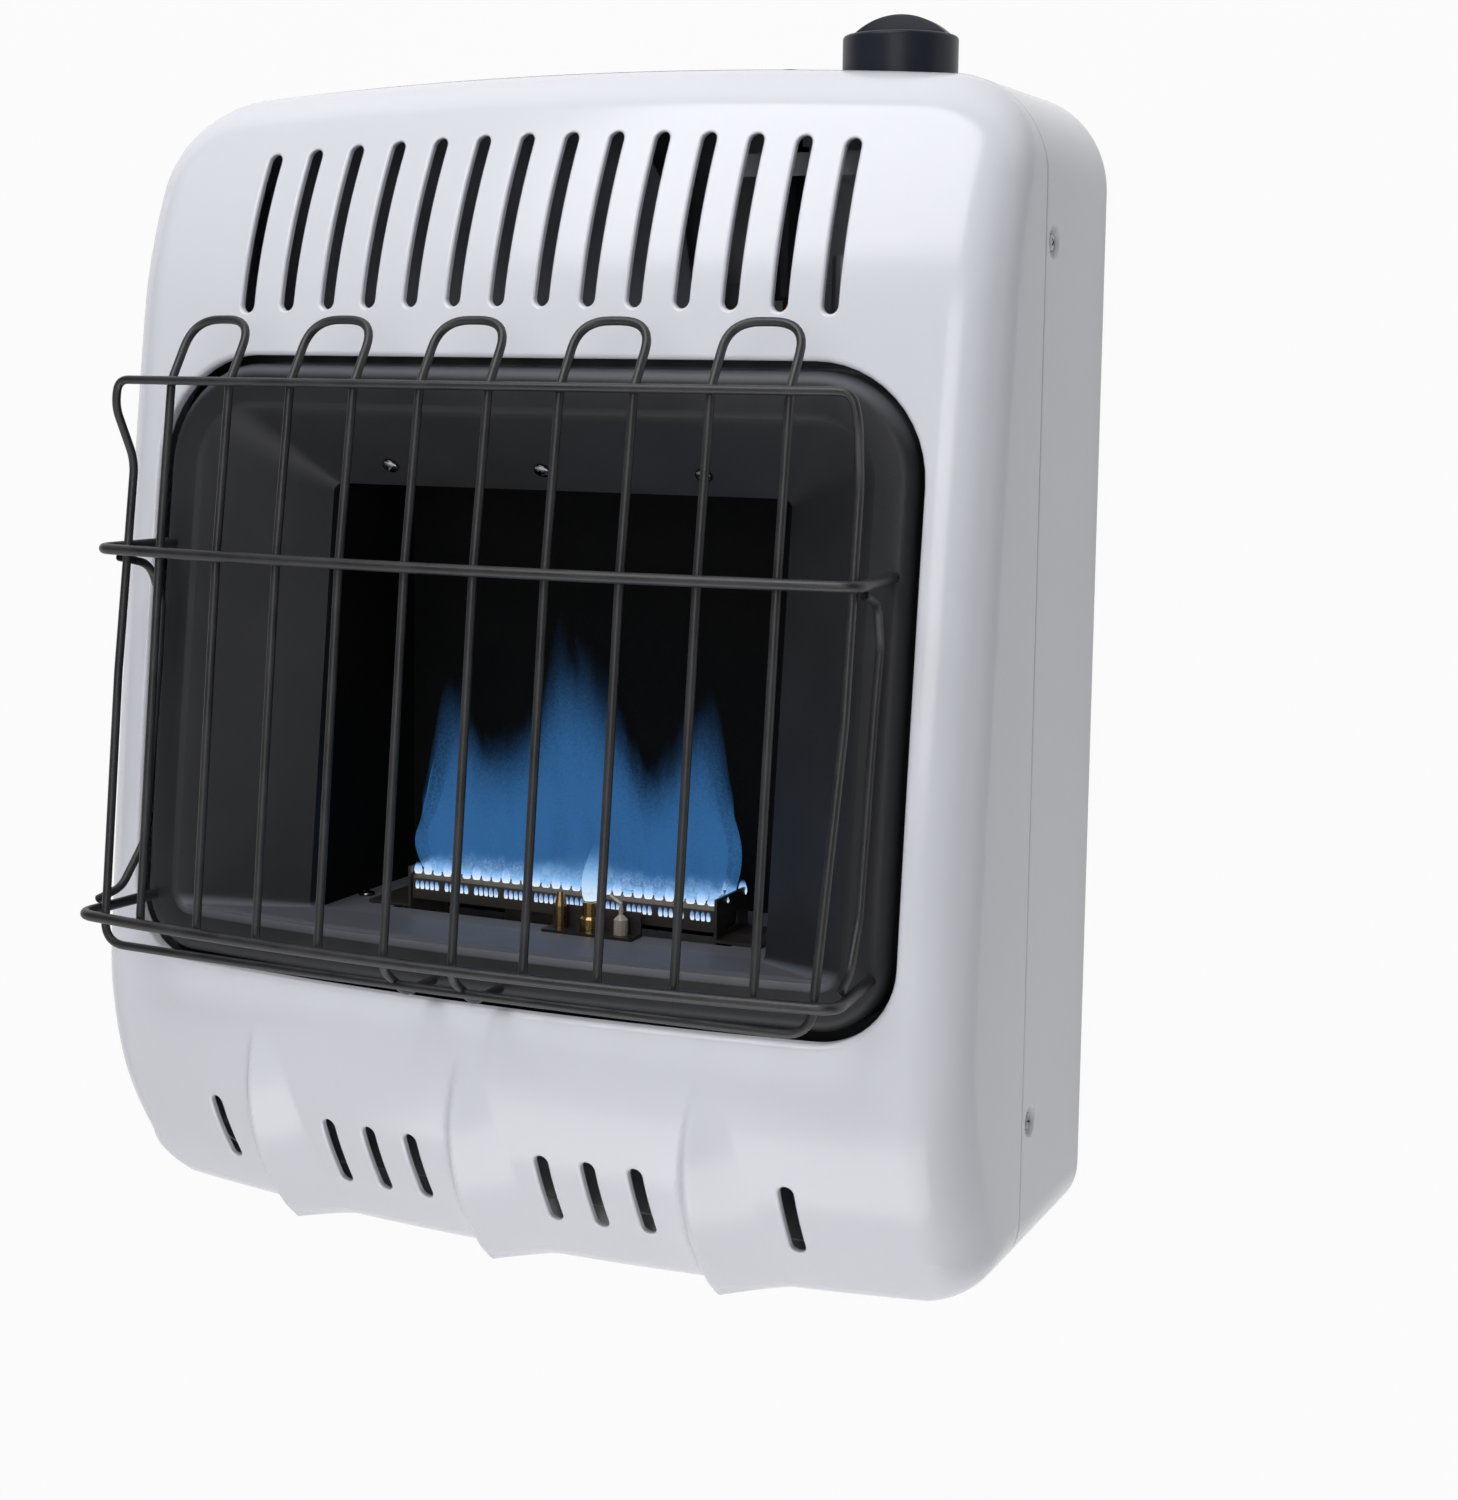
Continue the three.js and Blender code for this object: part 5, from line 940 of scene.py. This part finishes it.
# ---------------- screws
# Pan-head screws of bright zinc-plated steel with a cross recess. Two hold each side of the
# cover in its dimples, three the bezel's upper panel, two the tray and two the control shelf.
SCREW_HEAD, SCREW_SHANK, SCREW_DOME, HEAD_SEAT, HEAD_HEIGHT = 3.6, 1.75, 2.9, 0.3, 2.0
RECESS_FLOOR, RECESS_TAPER = 0.75, 0.72     # height of the recess's floor, and its size by its mouth's
plated_steel = coated("plated_steel", (0.28, 0.28, 0.275), (0.1, 0.1, 0.1), (0.1, 0.2),
                      (150, 2000, 0.02), metallic=1.0)

recess_outline = []
for arm in range(4):
    along = Matrix.Rotation(arm * quarter, 2)
    recess_outline += [tuple(along @ Vector(corner)) for corner in (
        (0.46, -0.46), (1.85, -0.34), (1.85, 0.34))]
circle = [(SCREW_DOME * c, SCREW_DOME * s) for c, s in turns(28)]
dome_spots = [(r * c, r * s) for r in (2.35, 1.2) for c, s in turns(16)]
dome, dome_triangles, dome_loops = fill_sheet(circle, [recess_outline], dome_spots, 0.4)


def cross_head_screw(node, seat, outward, shank, turn):
    outward, seat, metal = Vector(outward).normalized(), Vector(seat), SheetMetal()
    side = Matrix.Rotation(turn, 3, outward) @ outward.orthogonal().normalized()
    other = outward.cross(side)

    def level(places):
        return metal.ring([seat + side * u + other * v + outward * height for u, v, height in places])

    rings = [level([(radius * c, radius * s, height) for c, s in turns(28)]) for radius, height in (
        (SCREW_SHANK - 0.35, -shank), (SCREW_SHANK, -shank + 0.35), (SCREW_SHANK, HEAD_SEAT),
        (3.35, HEAD_SEAT), (SCREW_HEAD, 0.5), (SCREW_HEAD, 0.85), (3.45, 1.2), (3.2, 1.4))]
    top = level([(p.x, p.y, HEAD_HEIGHT - 0.5 * (p.length / SCREW_DOME) ** 2) for p in dome])
    recess_floor = level([(u * RECESS_TAPER, v * RECESS_TAPER, RECESS_FLOOR) for u, v in recess_outline])
    metal.faces += [tuple(top[i] for i in tri) for tri in dome_triangles]
    metal.faces += [tuple(reversed(rings[0])), tuple(recess_floor)]
    metal.chain(rings + [[top[i] for i in dome_loops[0]]])
    metal.bridge([top[i] for i in dome_loops[1]], recess_floor)
    hand_over(metal.piece(f"head_{node}", sharp_angle=38), plated_steel, node)


def upper_panel(x, share):
    """A point of the bezel's upper panel, from its edge at the land to the opening."""
    reach = mix(126, 102, share)
    return Vector((x, mix(bezel_y(x / reach * 126, 347.9) + 1.8, -114, share), mix(347.9, 316, share)))


for index, height in enumerate(SCREW_HEIGHTS):
    for name, side in (("left", -1), ("right", 1)):
        cross_head_screw(f"side_screw_{name}_{index + 1}", (side * (HALF_WIDTH - 2.4), SCREW_Y, height),
                         (side, 0, 0), 7, 0.5 + 0.9 * index)
for index, x in enumerate((-72, 0, 72)):
    outward = (upper_panel(x, 1) - upper_panel(x, 0)).cross(Vector((1, 0, 0)))
    cross_head_screw(f"bezel_screw_{index + 1}", upper_panel(x, 0.72), outward, 6, 0.3 + 0.7 * index)
for name, x in (("left", -102.3), ("right", 102.3)):
    cross_head_screw(f"tray_screw_{name}", (x, -95, 133.2), (0, 0, 1), 5, 0.4)
for index, x in enumerate((104, 156)):
    cross_head_screw(f"shelf_screw_{index + 1}", (x, -2.7, 428), (0, -1, 0), 1.2, 0.2 + 0.5 * index)


# ---------------- combustion box and tray
# Folded from sheet steel. The box behind the opening is painted matt black against the heat
# and the tray that closes its foot has the bezel's charcoal enamel.
def finish(material, *names):
    for name in names:
        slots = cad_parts[name].data.materials
        slots.clear()
        slots.append(material)


black_heat_paint = coated("black_heat_paint", (0.003, 0.0035, 0.004), (0.006, 0.006, 0.006),
                          (0.7, 0.9), (25, 1500, 0.08), specular=0.1)
finish(black_heat_paint, "combustion_box")
# the tray's upward face takes the enamel's lighter painted top, painted light from above
finish(charcoal_enamel, "floor_tray")


# ---------------- heat deflector
# A plain sheet that curves forward under the crown and throws the warm air out of the upper
# slots. It is bare slate-grey enamel, and lighter than the bezel where the slots show it.
deflector_enamel = coated("deflector_enamel", (0.2, 0.212, 0.24), (0.16, 0.17, 0.195), (0.4, 0.55),
                          (16, 900, 0.04))
finish(deflector_enamel, "heat_deflector")


# ---------------- burner and its flames
# A steel ribbon burner across the foot of the firebox, on two folded brackets, fed by a brass
# injector. Two rows of ports burn with short bright cones and one tall soft blue flame.
BURNER_Y, BURNER_TOP = -92, 149.3
burner_steel = coated("burner_steel", (0.06, 0.056, 0.056), (0.11, 0.095, 0.085), (0.3, 0.5),
                      (40, 500, 0.03), metallic=0.8, stretch=(0.1, 1, 1))
bright_steel = coated("stainless_steel", (0.5, 0.5, 0.51), (0.36, 0.31, 0.27), (0.24, 0.42),
                      (30, 500, 0.02), metallic=1.0)
brass = coated("brass", (0.5, 0.33, 0.13), (0.3, 0.18, 0.08), (0.22, 0.38), (70, 1800, 0.02),
               metallic=1.0)
finish(burner_steel, "burner", "burner_bracket_left", "burner_bracket_right")
finish(brass, "gas_injector")

# how a flame's colour and density change from its foot, rise 0, to its tip, rise 1
glow, given, glow_out = new_group(
    "flame_glow", {"Color": ("Colour", "Foot Colour"), "Float": ("Foot", "Body")},
    {"Color": ("Colour",), "Float": ("Density",)})
rise = add_node(glow, "Attribute", {}, attribute_name="rise")["Fac"]
where = add_node(glow, "TexCoord", {})["Object"]
upright = add_node(glow, "VectorMath", {0: where, 1: (1, 1, 0.16)}, operation="MULTIPLY")[0]
streaks = wavy(glow, upright, 95, 2)
sparkle = wavy(glow, where, 950, 1)
above_foot = maths(glow, "SUBTRACT", 1, maths(glow, "DIVIDE", rise, given["Foot"]))
foot_glow = maths(glow, "POWER", maths(glow, "MAXIMUM", above_foot, 0), 1.6)
ragged = maths(glow, "MULTIPLY", maths(glow, "SUBTRACT", streaks, 0.5), 0.45)
tip_fade = ranged(glow, maths(glow, "ADD", rise, ragged), 1, 0, 0.3, 0.95, "SMOOTHSTEP")
texture = maths(glow, "MULTIPLY", ranged(glow, streaks, 0.6, 1.4), ranged(glow, sparkle, 0.65, 1.35))
body = maths(glow, "MULTIPLY", given["Body"], texture)
strength = maths(glow, "ADD", body, maths(glow, "MULTIPLY", foot_glow, 0.45))
feed(glow, glow_out, {"Density": maths(glow, "MULTIPLY", tip_fade, strength),
                      "Colour": blended(glow, foot_glow, given["Colour"], given["Foot Colour"])})


def burning(name, colour, foot_colour, foot, body, edge):
    """Burning gas: light of its own, see-through by its density, and denser seen edge-on."""
    gas, tree, shader = new_material(name)
    effect = add_node(tree, "Group", {"Colour": (*colour, 1), "Foot Colour": (*foot_colour, 1),
                                      "Foot": foot, "Body": body}, node_tree=glow)
    edge_on = add_node(tree, "LayerWeight", {"Blend": 0.4})["Facing"]
    denser = maths(tree, "MULTIPLY_ADD", edge_on, edge, 1)
    alpha = maths(tree, "MULTIPLY", effect["Density"], denser, use_clamp=True)
    feed(tree, shader, {"Base Color": (0, 0, 0, 1), "Roughness": 1, "Specular IOR Level": 0,
                        "Emission Strength": 1, "Emission Color": effect["Colour"], "Alpha": alpha})
    return gas


def flame_piece(name, metal, rises, material):
    piece = metal.piece(name)
    piece.data.attributes.new("rise", "FLOAT", "POINT").data.foreach_set("value", rises)
    piece.data.materials.append(material)
    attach(piece, "heater_body")


# height of the tall flame above the burner along its length
FLAME_HEIGHTS = (
    (-78, 42), (-72, 58), (-68, 74), (-64, 88), (-61, 92), (-57, 80), (-52, 69), (-44, 65),
    (-34, 65), (-27, 68), (-21, 78), (-15, 96), (-10, 112), (-6, 117), (-1, 116), (5, 110),
    (12, 101), (19, 89), (26, 72), (31, 59), (36, 54), (43, 60), (49, 70), (54, 79), (60, 87),
    (65, 92), (69, 91), (73, 83), (78, 54),
)


def flame_height(x):
    x = clamp(x, FLAME_HEIGHTS[0][0], FLAME_HEIGHTS[-1][0])
    for (low_x, low), (high_x, high) in zip(FLAME_HEIGHTS, FLAME_HEIGHTS[1:]):
        if x <= high_x:
            return mix(low, high, smooth((x - low_x) / (high_x - low_x)))


def flame_shell(name, half_length, half_depth, height_share, drift):
    """A closed curtain of flame that stands around the burner's length and leans inward."""
    around = [(mix(-half_length, half_length, step / 90), -1) for step in range(90)]
    around += [(half_length, mix(-1, 1, step / 8)) for step in range(8)]
    around += [(mix(half_length, -half_length, step / 90), 1) for step in range(90)]
    around += [(-half_length, mix(1, -1, step / 8)) for step in range(8)]
    metal, rings, rises = SheetMetal(), [], []
    for up in [level / 18 for level in range(19)]:
        points = []
        for x, depth in around:
            swell = sin(min(up * 1.6, 1) * pi) * (0.07 if x < 0 else 0.05)
            ripple = sin(x * 0.16 + up * 4 + drift) * 1.6 * up
            end_fade = smooth((half_length + 3 - abs(x)) / 14)
            height = flame_height(x * 1.04) * height_share * mix(0.6, 1, end_fade)
            close = (1 - up) ** 0.55
            px = x * (1 + swell) + ripple * 0.8 - up * up * 2
            py = BURNER_Y + depth * half_depth * close * mix(0.5, 1, end_fade) + ripple * 0.7
            points.append(Vector((px, py, BURNER_TOP + 0.4 + up * height)))
        facings = [Vector((0, depth if abs(depth) > 0.2 else 1, 0.1)).normalized()
                   for _, depth in around]
        rings.append(metal.ring(points, facings))
        rises += [up] * len(around)
    metal.chain(rings)
    flame_piece(name, metal, rises, tall_flame)


tall_flame = burning("tall_flame", (0.032, 0.125, 0.31), (0.3, 0.6, 1.0), 0.085, 0.46, 0.35)
flame_shell("tall_flame", 71, 13, 1.0, 0.0)
flame_shell("inner_flame", 66, 6, 0.86, 2.1)

port_flame = burning("port_flame", (0.2, 0.45, 0.95), (0.85, 0.95, 1.0), 0.9, 0.75, 0.4)
metal, rises = SheetMetal(), []


def small_cone(place, lean, wide, deep, tall):
    profile = ((0.75, 0), (1, 0.2), (0.85, 0.5), (0.5, 0.8), (0.08, 1))
    metal.stack([round_level(place + lean * up * tall, wide * size, deep * size, 8, 0.3)
                 for size, up in profile])
    rises.extend([up for _, up in profile for _ in range(8)])


for row, y in enumerate((-13.4, -5, 5, 13.4)):
    for number in range(30):
        x = (number - 14.5) * 4.8 + (row % 2) * 2.1
        tall = 5.6 + 1.8 * sin(number * 2.3 + row)
        small_cone(Vector((x, BURNER_Y + y, BURNER_TOP - 1.2)), Vector((0, 0, 1)), 2.1, 1.3, tall)
for number in range(58):                # the lower row, in groups of five, licks forward
    if number % 6 < 5:
        x = (number - 28.5) * 2.42
        small_cone(Vector((x, BURNER_Y - 15.1, BURNER_TOP - 7.5)), Vector((0, -0.12, 1)), 0.95, 0.7, 4.6)
flame_piece("port_flames", metal, rises, port_flame)


# ---------------- pilot group
# A small brass pilot burner in front of the main one, with the flame probe and the glazed
# spark electrode beside it on one folded bracket. Its flame leans back over the burner.
ceramic = coated("ceramic", (0.42, 0.38, 0.33), (0.24, 0.19, 0.15), (0.25, 0.4), (90, 2500, 0.01))
finish(burner_steel, "pilot_bracket")
finish(brass, "pilot_burner", "thermocouple")
finish(ceramic, "spark_electrode")

metal, levels, rises = SheetMetal(), [], []
for up in [level / 12 for level in range(13)]:
    radius = 4.0 * sin(pi * (0.16 + 0.84 * up) ** 0.75) + 0.05
    centre = Vector((20 - 3 * up, -117 + 12 * up ** 1.4, 147.6 + 25 * up))
    levels.append(round_level(centre, radius, radius, 16, 0.2))
    rises += [up] * 16
metal.stack(levels)
flame_piece("pilot_flame", metal, rises,
            burning("pilot_flame", (0.16, 0.42, 0.85), (0.75, 0.9, 1.0), 0.8, 0.35, 0.1))


# ---------------- gas valve and its stem
# A die-cast valve hangs under a folded zinc-coated shelf, held by one plated nut. Its steel
# stem runs up through a brass collar and a coil spring into the knob.
die_cast = coated("aluminium", (0.55, 0.56, 0.57), (0.45, 0.46, 0.47), (0.3, 0.45),
                  (50, 1200, 0.04), metallic=1.0)
zinc_sheet = coated("galvanised_sheet", (0.42, 0.44, 0.46), (0.52, 0.54, 0.56), (0.35, 0.5),
                    (60, 900, 0.03), metallic=0.9)
finish(die_cast, "gas_valve")
finish(zinc_sheet, "control_shelf")
finish(plated_steel, "valve_nut")
finish(bright_steel, "valve_stem", "knob_spring")
finish(brass, "stem_collar")


# ---------------- spark igniter
# A push-button igniter with a moulded body, clamped in the shelf by its nut. Its lead, in
# heat-proof red insulation, runs down to the spark electrode.
lead_insulation = coated("lead_insulation", (0.25, 0.02, 0.015), (0.2, 0.015, 0.012), (0.45, 0.6),
                         (90, 2500, 0.02))
finish(black_plastic, "igniter_body")
finish(plated_steel, "igniter_nut")
finish(bright_steel, "igniter_spring")
finish(lead_insulation, "ignition_lead")


# ---------------- gas path
# Gas comes in through a brass fitting in the base, passes a cast regulator and runs on in
# bent aluminium tubes to the valve, the burner and the pilot.
finish(brass, "inlet_fitting")
finish(die_cast, "gas_regulator", "supply_tube", "burner_tube", "pilot_tube")


# ---------------- back panel and wall bracket
# The rear is closed by a flat zinc-coated panel, and a folded bracket screwed to the wall
# carries the whole heater by two hooks.
finish(zinc_sheet, "back_panel", "wall_bracket")
